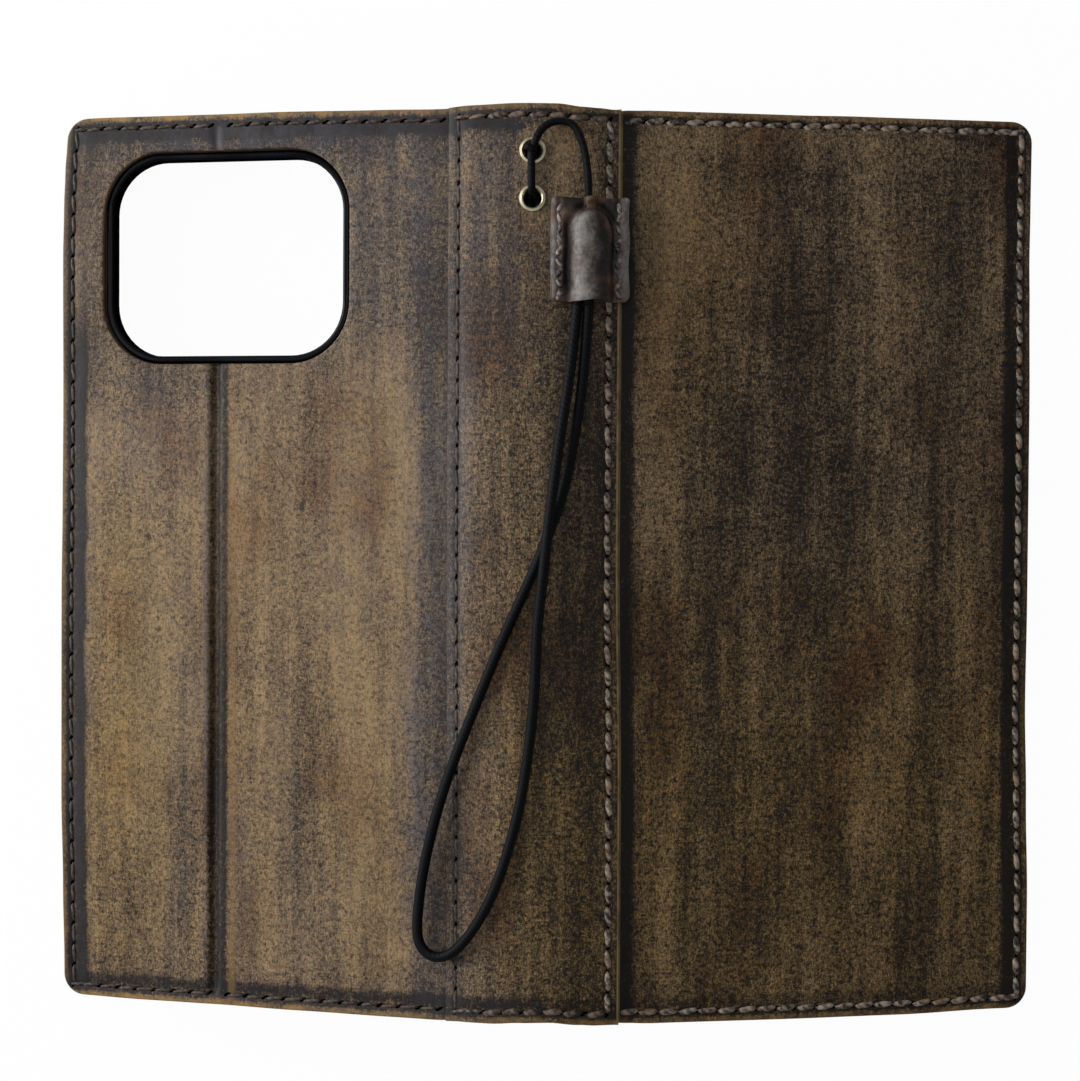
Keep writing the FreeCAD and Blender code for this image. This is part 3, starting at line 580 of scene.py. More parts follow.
def carve(sheet, tool):
    """Takes the shape of a tool out of a sheet."""
    pick_none()
    bpy.context.view_layer.objects.active = sheet
    cutter = sheet.modifiers.new("cut", "BOOLEAN")
    cutter.operation = "DIFFERENCE"
    cutter.solver = "EXACT"
    cutter.object = tool
    bpy.ops.object.modifier_apply(modifier="cut")
    bpy.data.objects.remove(tool)


# %% [markdown]
# ## Awl holes
# The saddle stitch goes through slanted slits, which an awl makes at even steps. One slit is
# cut as a thin lozenge, copied to every place of a row, and the whole row is taken out of the
# sheet in one go while it is still flat.

# %% Rows of slits
STITCH_IN = 2.1 * MM
PITCH = 4.0 * MM
END_PITCH = 3.72 * MM
ROWS_UP = [(k - 20.5) * PITCH for k in range(42)]
BACK_ROW = BACK_EDGE + STITCH_IN
LEFT_SEAM_ROW = LEFT_SEAM_EDGE + STITCH_IN
RIGHT_SEAM_ROW = RIGHT_SEAM_EDGE - STITCH_IN
FRONT_ROW = FRONT_EDGE - STITCH_IN
SLANT = math.radians(58)
END_SLANT = math.radians(28)


def awl_holes(sheet, places, top, depth=1.1 * MM):
    """Cuts one slanted slit at each place: across, along and the angle of its row."""
    pick_none()
    slits = []
    bpy.ops.mesh.primitive_cylinder_add(vertices=8, radius=1.0, depth=1.0)
    master = bpy.context.object
    master.scale = (0.78 * MM, 0.32 * MM, 2 * depth)
    bpy.ops.object.transform_apply(location=False, rotation=False, scale=True)
    for across, along, angle in places:
        slits.append(copy_to(master, Matrix.Translation((across, along, top)) @ Matrix.Rotation(angle, 4, "Z")))
    bpy.data.objects.remove(master)
    pick_none()
    for slit in slits:
        slit.select_set(True)
    bpy.context.view_layer.objects.active = slits[0]
    bpy.ops.object.join()
    carve(sheet, bpy.context.object)


def end_places(low, high, start):
    """Places of the slits along the upper and lower ends of a cover."""
    count = int((high - start) / END_PITCH) + 1
    spots = [start + k * END_PITCH for k in range(-60, count + 60)]
    return [x for x in spots if low <= x <= high]


def end_slits(places):
    """Slits at the same places along the lower and the upper end of a sheet."""
    return [(x, s * (HALF_HEIGHT - STITCH_IN), END_SLANT) for x in places for s in (-1, 1)]


# %% Laying a sheet on the case
def keep_pattern(sheet):
    """Writes the flat place of every corner of every face into the UV map."""
    pick_none()
    mesh = sheet.data
    for layer in list(mesh.uv_layers):
        mesh.uv_layers.remove(layer)
    pattern = mesh.uv_layers.new(name="hide")
    for loop in mesh.loops:
        place = mesh.vertices[loop.vertex_index].co
        pattern.data[loop.index].uv = (place.x, place.y)


def lay_sheet(sheet, finishes, relief=None):
    """Gives a flat sheet its finish and relief, and lays it on the standing case."""
    keep_pattern(sheet)
    if finishes[0] == cover_leather:
        paint(sheet)
    mesh = sheet.data
    mesh.materials.clear()
    for finish in finishes:
        mesh.materials.append(finish)
    top = max(v.co.z for v in mesh.vertices)
    for face in mesh.polygons:
        side = abs(face.normal.z) < 0.5
        a, v, n = face.center
        rows = (a - BACK_EDGE, FRONT_EDGE - a, HALF_HEIGHT - abs(v), a - LEFT_SEAM_EDGE, RIGHT_SEAM_EDGE - a)
        on_row = any(abs(x - STITCH_IN) < 0.75 * MM for x in rows)
        slit = len(finishes) > 2 and on_row and min(rows[:3]) > 0.7 * MM
        # walls and floors of the slits take the third finish, the painted shade of the holes
        pit = slit and (side or (face.normal.z > 0 and n < top - 0.5 * MM))
        face.material_index = 2 if pit else 1 if side else 0
    for vertex in mesh.vertices:
        a, v, n = vertex.co
        if relief is not None:
            a, v, n = relief(a, v, n, top)
        vertex.co = lay(a, v, n)
    pick_only(sheet)
    bpy.ops.object.shade_smooth_by_angle(angle=math.radians(38))
    print(sheet.name, "faces:", len(mesh.polygons))
    return sheet


# %% [markdown]
# ## The look of the leather
# The hide is tan leather with a dark dye brushed on lengthwise and rubbed back by hand. The
# brush strokes are painted on each sheet as a `dye` attribute, as one would in vertex paint,
# with a few strokes of painted shadow beside the hand loop, and a second attribute holds a
# painted cool sheen. The shader adds what is too fine to paint: streaks, blotches, pores, the
# burnished bands beside the rim and the left seam, painted shade beside the right seam, in the
# crease and along the rows of stitches, painted highlights beside the crease, the awl holes
# with painted shade inside them, and the rubbed rim.

# %% Brush strokes of dye, and a few of painted shadow beside the hand loop: across, along, half width, half length in mm, and how dark
DYE_AND_SHADOW_STROKES = [
    (-85.5, 42, 4.5, 38, -0.10), (-76, 22, 13, 17, 0.09), (-68.5, -35, 2.2, 50, 0.09),
    (-81, -68, 5, 13, 0.13), (-57, 12, 4, 28, -0.09), (-42.5, 20, 4, 24, 0.15),
    (-52.5, -45, 2.6, 32, 0.09), (-45, -38, 3, 34, 0.10), (-36, -20, 4.5, 55, -0.07),
    (-27, 20, 4, 30, -0.12), (-20.5, 0, 3.6, 120, 0.20), (-30, 63, 13, 24, 0.22),
    (-55, 82, 60, 6, 0.24), (-50, -82, 60, 6, 0.14), (-75, -55, 8, 25, -0.05),
    (-81, 62, 9, 28, 0.24), (-89.6, 60, 1.2, 26, -0.20), (-40, 66, 55, 30, 0.10),
    (2.5, 70, 6.5, 11, -0.24), (-11, 70, 5, 14, -0.05),
    (27, 48, 8, 22, -0.07), (-68, 25, 3, 12, 0.05), (-24, 76, 6, 8, -0.08),
    (-12, 30, 3, 60, -0.04), (-5, -40, 3, 50, 0.05), (20.5, 45, 3.2, 45, -0.14),
    (30.5, 8, 3.6, 75, 0.09), (38, 52, 4, 28, -0.05), (51, 42, 5.5, 44, 0.10),
    (66, 48, 5, 32, -0.15), (59, 12, 4, 15, 0.11), (65.5, -12, 5, 24, -0.13),
    (62, -52, 4, 28, -0.09), (75, -8, 3.5, 46, 0.10), (83, 2, 4, 66, -0.09),
    (45, -60, 9, 24, -0.05), (22, -32, 3.5, 55, -0.08), (37, -12, 4, 20, -0.05),
    (77, 70, 8, 12, -0.04), (26, 60, 7.5, 20, -0.16), (25, -12, 3.2, 62, -0.10), (35, -15, 4, 58, 0.12),
    (45, 30, 7, 30, 0.13), (49.5, -20, 5, 58, 0.08), (69, 25, 6, 20, 0.13), (63, -19, 3, 14, 0.12),
    (77, 60, 3.5, 24, 0.11), (86.5, 22, 5, 34, 0.10), (58, -64, 3, 13, 0.17), (74, -68, 6, 12, 0.15),
    (67.5, -38, 4, 20, -0.09), (-76, 38, 17, 10, 0.24), (-84, -8, 3.2, 32, 0.14), (-59.3, -50, 2.6, 34, 0.18),
    (-59.3, 28, 2.4, 12, 0.12), (-54, -14, 3.5, 15, 0.15), (-42, -46, 6, 32, 0.17), (-66, -60, 5, 20, 0.2),
    # the strokes at (-15.3, -52), (10.5, 20) and (6.5, 28) are painted shadow of the hand loop cord, not dye
    (-28, -8, 4, 11, 0.11), (-87, 64, 2.4, 26, 0.22), (-28, 82, 11, 3, -0.12), (-15.3, -52, 2.2, 26, 0.2),
    (-76, -62, 16, 18, 0.07), (-81, 62, 6, 26, -0.08), (10.5, 20, 2.5, 40, 0.15),
    (-10, -8, 4, 34, 0.08), (6.5, 28, 4, 24, 0.18), (5, -22, 5, 16, 0.12), (-3.5, 72, 4, 6, 0.1),
    (26, 66, 9, 15, -0.17), (-60, 78.6, 27, 4, 0.22), (5, 78, 7, 6, -0.31), (42, 80.5, 28, 3.8, -0.21),
    (77, 68, 8, 14, 0.08), (-23, 68, 9, 14, -0.13), (6, 66, 5, 8, -0.12),
]


# painted sheen, the cool grey reflection of the burnished wax painted into the colour: across, along, half width,
# half length in mm, and how much
PAINTED_SHEEN = [
    (-20.8, 0, 4.2, 200, 0.75), (-40, 70, 55, 32, 0.5), (-80, 64, 9, 26, 0.3), (-12, 62, 8, 22, 0.3),
    (-45, -84, 60, 6, 0.4), (-89, -20, 2.0, 60, 0.35), (-68, -40, 2.4, 40, 0.35), (-35, 5, 7, 20, 0.22),
    (-47, -50, 5, 30, 0.22), (-76, 30, 15, 16, 0.4), (-11, -40, 4, 60, 0.2), (-15.4, 15, 3.6, 68, 0.62),
    (-12, 66, 7, 16, 0.5), (-42, -68, 5, 14, 0.3), (-60, -60, 5, 20, 0.3),
    (-52, 79, 36, 4.5, 1.0),
]


def dye_and_shadow_at(a, v):
    """How dark the leather is at a place of the pattern, from 0 for bare tan to 1 for black: the dye, with a few
    strokes of painted shadow beside the hand loop.
    """
    x, y = a / MM, v / MM
    dye = follow([(-60, 0.39), (-18, 0.39), (-16.9, 0.54), (-8, 0.64), (3, 0.78), (9, 0.88),
                  (14.5, 0.84), (15.5, 0.77), (90, 0.78)], x)
    dye += 0.05 * fade((-30 - y) / 50) * fade((0 - x) / 20)
    for across, along, wide, long, dark in DYE_AND_SHADOW_STROKES:
        sway = 1.3 * math.sin(y / 17 + across) + 0.7 * math.sin(y / 6.3 + 2 * across)
        near = ((x + sway - across) / wide) ** 2 + ((y - along) / long) ** 4
        dye += dark * math.exp(-near)
    return fade(dye)


# how much of the painted sheen, the cool grey reflection of the burnished wax, shows at a place
def painted_sheen_at(a, v):
    x, y = a / MM, v / MM
    haze = 0.0
    for across, along, wide, long, much in PAINTED_SHEEN:
        sway = 1.1 * math.sin(y / 14 + across) + 0.5 * math.sin(y / 5 + 3 * across)
        near = ((x + sway - across) / wide) ** 2 + ((y - along) / long) ** 4
        haze = max(haze, much * math.exp(-near))
    return fade(haze)


def warm_at(a, v):
    """How much of the golden dye shows: most in the lower part of the front cover."""
    x, y = a / MM, v / MM
    warm = follow([(-84, 0.75), (-60, 0.95), (-40, 1.0), (-15, 0.7), (15, 0.25), (50, 0.18), (84, 0.12)], y)
    warm *= follow([(-92, 0.4), (-20, 0.3), (-14, 0.1), (-2, 0.9), (10, 1.0), (90, 1.0)], x)
    warm += 0.45 * math.exp(-((x - 28) / 9) ** 2 - ((y - 48) / 32) ** 2)
    return fade(warm + 0.5 * math.exp(-((x + 82) / 5) ** 2 - ((y + 20) / 40) ** 2))


def paint(sheet):
    """Paints the dye with its painted shadows, the painted sheen and the warmth on a sheet that is still flat."""
    for name, amount in (("dye", dye_and_shadow_at), ("haze", painted_sheen_at), ("warm", warm_at)):
        layer = sheet.data.attributes.new(name, "FLOAT", "POINT")
        for vertex in sheet.data.vertices:
            layer.data[vertex.index].value = amount(vertex.co.x, vertex.co.y)


# %% The outer leather
SCRATCHES = [       # place in mm, turn in degrees, length and half width in mm
    (-56.6, 28.9, -58, 15.5, 0.09), (-60.2, 30.5, -50, 6, 0.08), (-33, -47, 72, 7, 0.07),
    (40, 20, 84, 9, 0.07), (-62.4, 80.2, -86, 2.6, 0.3), (-62.7, 77.9, -20, 1.6, 0.2),
    (-45.1, 11.4, -80, 1.6, 0.5), (-75.5, 5.2, -60, 1.3, 0.45),
]


def brushed_leather(name, grain):
    """Dyed and rubbed leather, worked out on the flat pattern."""
    f = Finish(name)
    hide = f.hide()
    place = f.add("SeparateXYZ", {0: hide})
    a, v = place.outputs[0], place.outputs[1]
    dye = f.painted("dye")

    # streaks along the spine, blotches and specks, added to the painted dye and its painted shadows
    swirl = f.noise(hide, (60, 60, 1), 2.0)
    streak = f.noise(hide, (150, 11, 1), 4.0, 0.6)
    brush = f.noise(hide, (520, 34, 1), 3.0, 0.6, (3, 5, 0))
    blotch = f.noise(hide, (300, 230, 1), 5.0, 0.62)
    speck = f.noise(hide, (1500, 1300, 1), 4.0, 0.7)
    pore = f.noise(hide, (3300, 2800, 1), 2.0, 0.6, (2, 8, 0))
    fleck = f.between(f.noise(hide, (980, 900, 1), 5.0, 0.7, (7, 1, 0)), 0.48, 0.66)
    thread = f.noise(hide, (900, 2600, 1), 2.0, 0.5)
    oblique = f.add("Mapping", {"Vector": hide, "Rotation": (0, 0, math.radians(-38)), "Scale": (3400, 1100, 1)})
    crackle = f.add("TexNoise", {"Vector": oblique.outputs[0], "Scale": 1.0, "Detail": 3.0,
                                 "Roughness": 0.6}).outputs[0]
    uneven = 0.0
    for noise, amount in ((streak, 0.36), (brush, 0.42), (blotch, 0.4), (swirl, 0.12), (speck, grain),
                          (thread, 0.3), (fleck, 0.26), (pore, 0.8), (crackle, 0.75)):
        uneven = f.plus(f.swing(noise, amount), uneven)
    total = f.plus(dye, f.times(uneven, f.between(dye, 0.3, 0.75, 1.1, 1.7)))

    # distances to the rim and to the seams of the spine
    from_side = f.least(f.minus(a, BACK_EDGE), f.minus(FRONT_EDGE, a))
    from_end = f.minus(HALF_HEIGHT, f.math("ABSOLUTE", v))
    rim = f.least(from_side, from_end)
    left = f.minus(a, LEFT_SEAM_EDGE)
    right = f.minus(a, RIGHT_SEAM_EDGE)
    crease = f.minus(a, CREASE)
    rough_edge = f.plus(f.swing(f.noise(hide, (260, 90, 1), 4.0), 2.4 * MM), f.swing(speck, 1.8 * MM))
    ragged = f.plus(rim, rough_edge)
    side = f.plus(from_side, rough_edge)
    end = f.plus(from_end, rough_edge)

    # dark bands beside the rim and the left seam, where the leather was burnished, and bands of painted shade beside
    # the right seam, in the crease and along the rows of stitches
    beside_side = f.times(f.band(side, 2.8 * MM, 5.0 * MM, 0.6 * MM), f.between(a, 0.0, 5 * MM, 1.0, 0.66),
                          f.most(f.between(v, 34 * MM, 46 * MM, 1.0, 0.25), f.between(a, 0.0, 5 * MM)))
    burnished = f.most(f.between(v, 0.0, 20 * MM, 1.0, 0.0), f.between(a, -9 * MM, 1 * MM, 1.0, 0.15))
    burnished = f.least(burnished, f.between(v, -20 * MM, 0.0, 0.75, 1.0))
    beside_end = f.times(f.band(end, 2.4 * MM, 4.6 * MM, 0.8 * MM), f.between(a, -4 * MM, 4 * MM, 1.5, 0.5),
                         burnished)
    beside_left = f.band(f.plus(left, rough_edge), -4.6 * MM, 1.2 * MM, 1.5 * MM)
    # beside the right seam: partly dark dye, partly a painted shadow of the spine leather's raised edge
    dye_and_shadow_right = f.band(f.plus(right, rough_edge), -0.3 * MM, 2.9 * MM, 1.0 * MM)
    below = f.between(v, 36 * MM, 42 * MM, 1.0, 0.12)
    # in the crease: partly the dye of the crease, partly painted shade in the groove
    crease_dye_and_shade = f.plus(f.band(crease, -1.0 * MM, 2.7 * MM, 0.4 * MM),
                    f.times(f.band(crease, 0.5 * MM, 2.4 * MM, 0.3 * MM), 0.7))
    crease_dye_and_shade = f.times(crease_dye_and_shade, f.times(below, f.between(v, -82 * MM, -78 * MM, 0.2, 1.0)))
    # painted shade along the rows of stitches, where the thread pulls a valley into the leather
    painted_row_shade = f.band(rim, 1.15 * MM, 2.4 * MM, 0.3 * MM)
    painted_seam_row_shade = f.most(f.band(left, 1.4 * MM, 2.8 * MM, 0.3 * MM), f.band(right, -2.8 * MM, -1.4 * MM, 0.3 * MM))
    rim_dark = f.times(f.band(side, -1.0 * MM, 2.8 * MM, 0.4 * MM), f.between(a, 0.0, 5 * MM, 1.0, 0.25))
    for band, amount in ((beside_side, 0.8), (beside_end, 0.42), (beside_left, 0.22), (dye_and_shadow_right, 0.6),
                         (crease_dye_and_shade, 0.32), (painted_row_shade, 0.44), (painted_seam_row_shade, 0.24), (rim_dark, 0.46)):
        total = f.plus(total, f.times(band, amount))
    shade = f.ramp(total, [(0.0, tone(158, 132, 98)), (0.15, tone(140, 118, 90)), (0.3, tone(121, 102, 80)),
                           (0.45, tone(101, 85, 67)), (0.6, tone(82, 68, 52)), (0.72, tone(66, 54, 41)),
                           (0.85, tone(44, 36, 28)), (1.0, tone(22, 18, 16))])

    # red haze, golden dye and grains of colour
    red = f.between(f.noise(hide, (60, 30, 1), 4.0, 0.5, (9, 2, 0)), 0.46, 0.78, 0.0, 0.85)
    shade = f.mix(red, shade, tone(112, 78, 58), "SOFT_LIGHT")
    warm = f.times(f.painted("warm"), f.between(streak, 0.25, 0.6, 0.6, 1.0))
    shade = f.mix(warm, shade, (1.02, 0.93, 0.56), "MULTIPLY")
    tint = f.noise(hide, (2300, 2000, 1), 2.0, 0.6, (5, 3, 0))
    shade = f.mix(f.between(tint, 0.35, 0.5, 0.6, 0.0), shade, (1.12, 0.93, 0.84), "MULTIPLY")
    shade = f.mix(f.between(tint, 0.5, 0.65, 0.0, 0.6), shade, (0.88, 1.02, 1.12), "MULTIPLY")

    # painted sheen: the cool grey reflection of the burnished wax, painted into the colour on the back cover, and a
    # painted cool highlight on the shoulder left of the crease
    crease_cool_highlight = f.times(f.band(crease, -2.2 * MM, -1.2 * MM, 0.35 * MM), below)
    painted_sheen_share = f.most(f.painted("haze"), f.times(beside_side, 0.36), f.times(beside_end, 0.22), f.times(crease_cool_highlight, 0.55))
    painted_sheen_share = f.times(painted_sheen_share, f.times(f.between(a, -4 * MM, 4 * MM, 1.0, 0.0),
                                 f.between(f.plus(blotch, streak), 0.75, 1.2, 0.25, 1.0)))
    shade = f.mix(painted_sheen_share, shade, f.ramp(total, [(0.2, tone(98, 94, 98)), (0.85, tone(58, 55, 60))]))

    # rubbed gold at the rim, a painted golden highlight on the lit shoulder right of the crease, and the raw edge of
    # the right seam
    worn = f.times(f.between(ragged, 0.2 * MM, 1.3 * MM, 1.0, 0.0), f.between(streak, 0.36, 0.58, 0.15, 0.8),
                   f.between(a, -75 * MM, 10 * MM, 1.35, 0.55), f.between(side, 0.6 * MM, 2.4 * MM, 0.35, 1.0))
    # painted golden highlight on the lit shoulder right of the crease
    crease_highlight = f.times(f.band(crease, 2.9 * MM, 4.4 * MM, 0.5 * MM), below, f.between(streak, 0.4, 0.6, 0.0, 0.35))
    raw = f.times(f.band(right, -0.5 * MM, 0.5 * MM, 0.12 * MM), f.between(blotch, 0.35, 0.55, 0.45, 0.9))
    shade = f.mix(f.math("MAXIMUM", worn, crease_highlight, True), shade, tone(148, 116, 70))
    shade = f.mix(raw, shade, tone(146, 124, 86))

    for x, y, turn, long, wide in SCRATCHES:
        line = f.add("Mapping", {"Vector": hide, "Location": (x * MM, y * MM, 0),
                                 "Rotation": (0, 0, math.radians(turn))}, vector_type="TEXTURE")
        along = f.add("SeparateXYZ", {0: line.outputs[0]})
        scratch = f.times(f.band(along.outputs[0], 0.0, long * MM, 0.3 * MM),
                          f.band(along.outputs[1], -wide * MM, wide * MM, 0.1 * MM))
        shade = f.mix(f.times(scratch, f.between(streak, 0.35, 0.6, 0.5, 0.85)), shade, tone(50, 42, 38))

    pores = f.plus(f.times(speck, 0.6), f.times(thread, 0.4))
    relief = f.bump(blotch, 0.35, 0.0004, f.bump(pores, 0.55, 0.00016))
    return f.set(colour=shade, roughness=f.between(total, 0.2, 0.9, 0.68, 0.56), gloss=0.24, normal=relief)


cover_leather = brushed_leather("outer_leather", 0.8)
edge = Finish("leather_edge")
surface = edge.surface()
edge_shade = edge.ramp(edge.noise(surface, (700, 420, 700), 5.0, 0.65), [
    (0.32, tone(58, 46, 36)), (0.5, tone(86, 68, 48)), (0.7, tone(116, 92, 62))])
edge_leather = edge.set(colour=edge_shade, roughness=0.6, gloss=0.3,
                        normal=edge.bump(edge.noise(surface, (1500, 1500, 2200), 3.0), 0.5, 0.0002))


# %% Inside the awl holes
pit = Finish("awl_hole")
pit_noise = pit.noise(pit.surface(), (1500, 1500, 1500), 2.0)
# the inside of the slits is painted near black: painted shade in the holes
slit_painted_shade = pit.set(colour=pit.ramp(pit_noise, [(0.3, tone(10, 9, 9)), (0.7, tone(26, 22, 20))]),
                    roughness=0.9, gloss=0.1)


# %% The leathers inside
def inner_leather(name, colour):
    """Smooth chestnut leather, a little darker where it is handled."""
    f = Finish(name)
    hide = f.hide()
    cloud = f.noise(hide, (40, 30, 1), 4.0)
    pore = f.noise(hide, (1500, 1500, 1), 3.0)
    dark, light = tuple(c * 0.6 for c in colour), tuple(min(1, c * 1.35) for c in colour)
    shade = f.ramp(cloud, [(0.3, dark), (0.55, colour), (0.8, light)])
    return f.set(colour=shade, roughness=0.58, gloss=0.35, normal=f.bump(pore, 0.35, 0.00012))


lining_leather = inner_leather("lining_leather", tone(112, 84, 58))
pocket_leather = inner_leather("pocket_leather", tone(122, 90, 60))

# %% The back cover
EDGE_RADIUS = 4.0 * MM
WINDOW = (BACK_EDGE + 8.3 * MM, BACK_EDGE + 56.7 * MM, 37.3 * MM, 77.2 * MM)
WINDOW_RADIUS = 11.5 * MM
COVER_LEATHER = 1.6 * MM
FOLD = half_arc + 0.3 * MM      # where the covers end under the spine leather
CREASE_STEPS = [CREASE + x * MM for x in (-2.2, -1.6, -1.25, -0.9, -0.6, -0.3, 0, 0.3, 0.6, 0.9, 1.25, 1.6, 2.2)]
BORDER_STEPS = [x * MM for x in (1.3, 1.7, 2.1, 2.5, 2.9)]
BORDER = BORDER_STEPS[-1]


def end_steps(size):
    """Slices along the spine: close together at both ends, even between them."""
    close = [s * (HALF_HEIGHT - x) for x in BORDER_STEPS for s in (-1, 1)]
    return close + steps(-HALF_HEIGHT + BORDER, HALF_HEIGHT - BORDER, size)


def cut_window(sheet):
    """Takes a block with four rounded upright corners out of a sheet."""
    top, bottom = 2 * MM, -6 * MM
    tool = cut_sheet("window_tool", *WINDOW, top, top - bottom)
    pick(tool, "edges", upright)
    bpy.ops.mesh.bevel(offset=WINDOW_RADIUS, segments=14, affect="EDGES")
    carve(sheet, tool)


back = cut_sheet("back_cover_leather", BACK_EDGE, -FOLD, -HALF_HEIGHT, HALF_HEIGHT, COVER_TOP, COVER_LEATHER)
round_corners(back, BACK_EDGE, EDGE_RADIUS)
cut_window(back)
soften_rim(back, 0.35 * MM, butt=(-FOLD,))
back_ends = end_places(BACK_EDGE + 3 * MM, LEFT_SEAM_EDGE - 1 * MM, BACK_ROW + 1.6 * MM)
awl_holes(back, [(BACK_ROW, v, SLANT) for v in ROWS_UP] + end_slits(back_ends), COVER_TOP)
slice_sheet(back,
            [BACK_EDGE + x for x in BORDER_STEPS] + steps(BACK_EDGE + BORDER, CREASE_STEPS[0], 2 * MM)
            + CREASE_STEPS + steps(CREASE_STEPS[-1], -FOLD, 2 * MM), end_steps(3 * MM))


def crease_depth(a, v):
    """The crease is pressed in between the two rows of stitches, and less above the window."""
    x = abs(a - CREASE) / (1.5 * MM)
    pressed = fade((82.4 * MM - abs(v)) / (1.2 * MM)) * (0.3 if v > 77 * MM else 1.0)
    return 0.0 if x >= 1 else 1.1 * MM * pressed * 0.5 * (1 + math.cos(math.pi * x))


def valley(distance):
    """The shallow valley that the stitches pull into the leather."""
    x = abs(distance - STITCH_IN) / (0.8 * MM)
    return 0.0 if x >= 1 else 0.16 * MM * 0.5 * (1 + math.cos(math.pi * x))


def back_relief(a, v, n, top):
    if n > top - 0.1 * MM:
        border = min(a - BACK_EDGE, HALF_HEIGHT - abs(v))
        n -= max(crease_depth(a, v), valley(border))
    return a, v, n


lay_sheet(back, (cover_leather, edge_leather, slit_painted_shade), back_relief)
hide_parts("stand_strip_leather", "back_leather")
tuple(lay(CREASE - 1.5 * MM, 0, COVER_TOP))
tuple(lay(CREASE + 1.5 * MM, 0, COVER_TOP))
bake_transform(back)

# %% The front cover
front = cut_sheet("front_cover_leather", FOLD, FRONT_EDGE, -HALF_HEIGHT, HALF_HEIGHT, COVER_TOP, COVER_LEATHER)
round_corners(front, FRONT_EDGE, EDGE_RADIUS)
soften_rim(front, 0.35 * MM, butt=(FOLD,))
front_ends = end_places(RIGHT_SEAM_EDGE + 1 * MM, FRONT_EDGE - 3 * MM, FRONT_ROW - 1.6 * MM)
awl_holes(front, [(FRONT_ROW, v, SLANT) for v in ROWS_UP] + end_slits(front_ends), COVER_TOP)
slice_sheet(front, [FRONT_EDGE - x for x in BORDER_STEPS] + steps(FOLD, FRONT_EDGE - BORDER, 2 * MM),
            end_steps(3 * MM))


def front_relief(a, v, n, top):
    if n > top - 0.1 * MM:
        n -= valley(min(FRONT_EDGE - a, HALF_HEIGHT - abs(v)))
    return a, v, n


lay_sheet(front, (cover_leather, edge_leather, slit_painted_shade), front_relief)
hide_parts("front_leather")
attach(front, "front_cover")

# %% The leather over the spine
SPLIT = 2.6 * MM        # where the layers of the spine part, since a piece bends at one fold only
EYELETS = (66.8 * MM, 75.4 * MM)
spine_ends = end_places(LEFT_SEAM_EDGE + 3.2 * MM, RIGHT_SEAM_EDGE - 3.2 * MM, LEFT_SEAM_ROW + 1.7 * MM)


def spine_sheet(name, left, right, top, thickness, seam=None, holes=False, rim=0.3 * MM):
    """One half of a layer of the spine, sliced finely where it bends."""
    sheet = cut_sheet(name, left, right, -HALF_HEIGHT, HALF_HEIGHT, top, thickness)
    if holes:
        for v in EYELETS:
            pick_none()
            bpy.ops.mesh.primitive_cylinder_add(vertices=32, radius=2.05 * MM, depth=8 * MM,
                                                location=(-1.3 * MM, v, -1.5 * MM))
            carve(sheet, bpy.context.object)
    soften_rim(sheet, rim, butt=[side for side in (left, right) if side != seam])
    if seam is not None:
        row = seam + STITCH_IN if seam < 0 else seam - STITCH_IN
        spots = [x for x in spine_ends if left + 1 * MM < x < right - 1 * MM]
        slant = math.radians(80) if seam < 0 else SLANT
        awl_holes(sheet, [(row, v, slant) for v in ROWS_UP] + end_slits(spots), top)
    slice_sheet(sheet, steps(left, right, 0.75 * MM), end_steps(5 * MM))
    return sheet


def skive(a):
    """How much the spine leather is pared down towards its left seam."""
    return 0.95 * MM * fade(1 - (a - LEFT_SEAM_EDGE) / (5 * MM)) ** 1.5


def spine_relief(a, v, n, top):
    if n > top - 0.6 * MM:
        n -= skive(a)
    if n > top - 0.1 * MM - skive(a):
        seam = min(abs(a - LEFT_SEAM_EDGE), abs(a - RIGHT_SEAM_EDGE))
        n -= valley(min(seam, HALF_HEIGHT - abs(v)))
    return a, v, n


spine_left = spine_sheet("spine_leather_left", LEFT_SEAM_EDGE, SPLIT, 0.0, SPINE_SKIN,
                         seam=LEFT_SEAM_EDGE, holes=True)
spine_right = spine_sheet("spine_leather_right", SPLIT, RIGHT_SEAM_EDGE, 0.0, SPINE_SKIN,
                          seam=RIGHT_SEAM_EDGE)
BACK_FOLD = (tuple(lay(-half_arc - 2 * MM, 0, 0)), tuple(lay(-half_arc + 2 * MM, 0, 0)))
FRONT_FOLD = (tuple(lay(half_arc - 2 * MM, 0, 0)), tuple(lay(half_arc + 2 * MM, 0, 0)))
for sheet in (spine_left, spine_right):
    lay_sheet(sheet, (cover_leather, edge_leather, slit_painted_shade), spine_relief)
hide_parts("spine_leather_back", "spine_leather")
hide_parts("spine_leather", "spine_leather_front")
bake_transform(spine_left)
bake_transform(spine_right)

# %% The lining and the core of the spine
LINING_TOP = -3.1 * MM
LINING = 1.0 * MM
LINING_JOINT = half_arc + 6 * MM    # where the lining of a cover meets the lining of the spine
lining_back = cut_sheet("lining_back", BACK_EDGE, -LINING_JOINT, -HALF_HEIGHT, HALF_HEIGHT, LINING_TOP, LINING)
round_corners(lining_back, BACK_EDGE, EDGE_RADIUS)
cut_window(lining_back)
soften_rim(lining_back, 0.2 * MM, butt=(-LINING_JOINT,))
slice_sheet(lining_back, CREASE_STEPS)
lining_left = spine_sheet("lining_spine_left", -LINING_JOINT, SPLIT, LINING_TOP, LINING, holes=True, rim=0.2 * MM)
lining_right = spine_sheet("lining_spine_right", SPLIT, LINING_JOINT, LINING_TOP, LINING, rim=0.2 * MM)
lining_front = cut_sheet("lining_front", LINING_JOINT, FRONT_EDGE, -HALF_HEIGHT, HALF_HEIGHT, LINING_TOP, LINING)
round_corners(lining_front, FRONT_EDGE, EDGE_RADIUS)
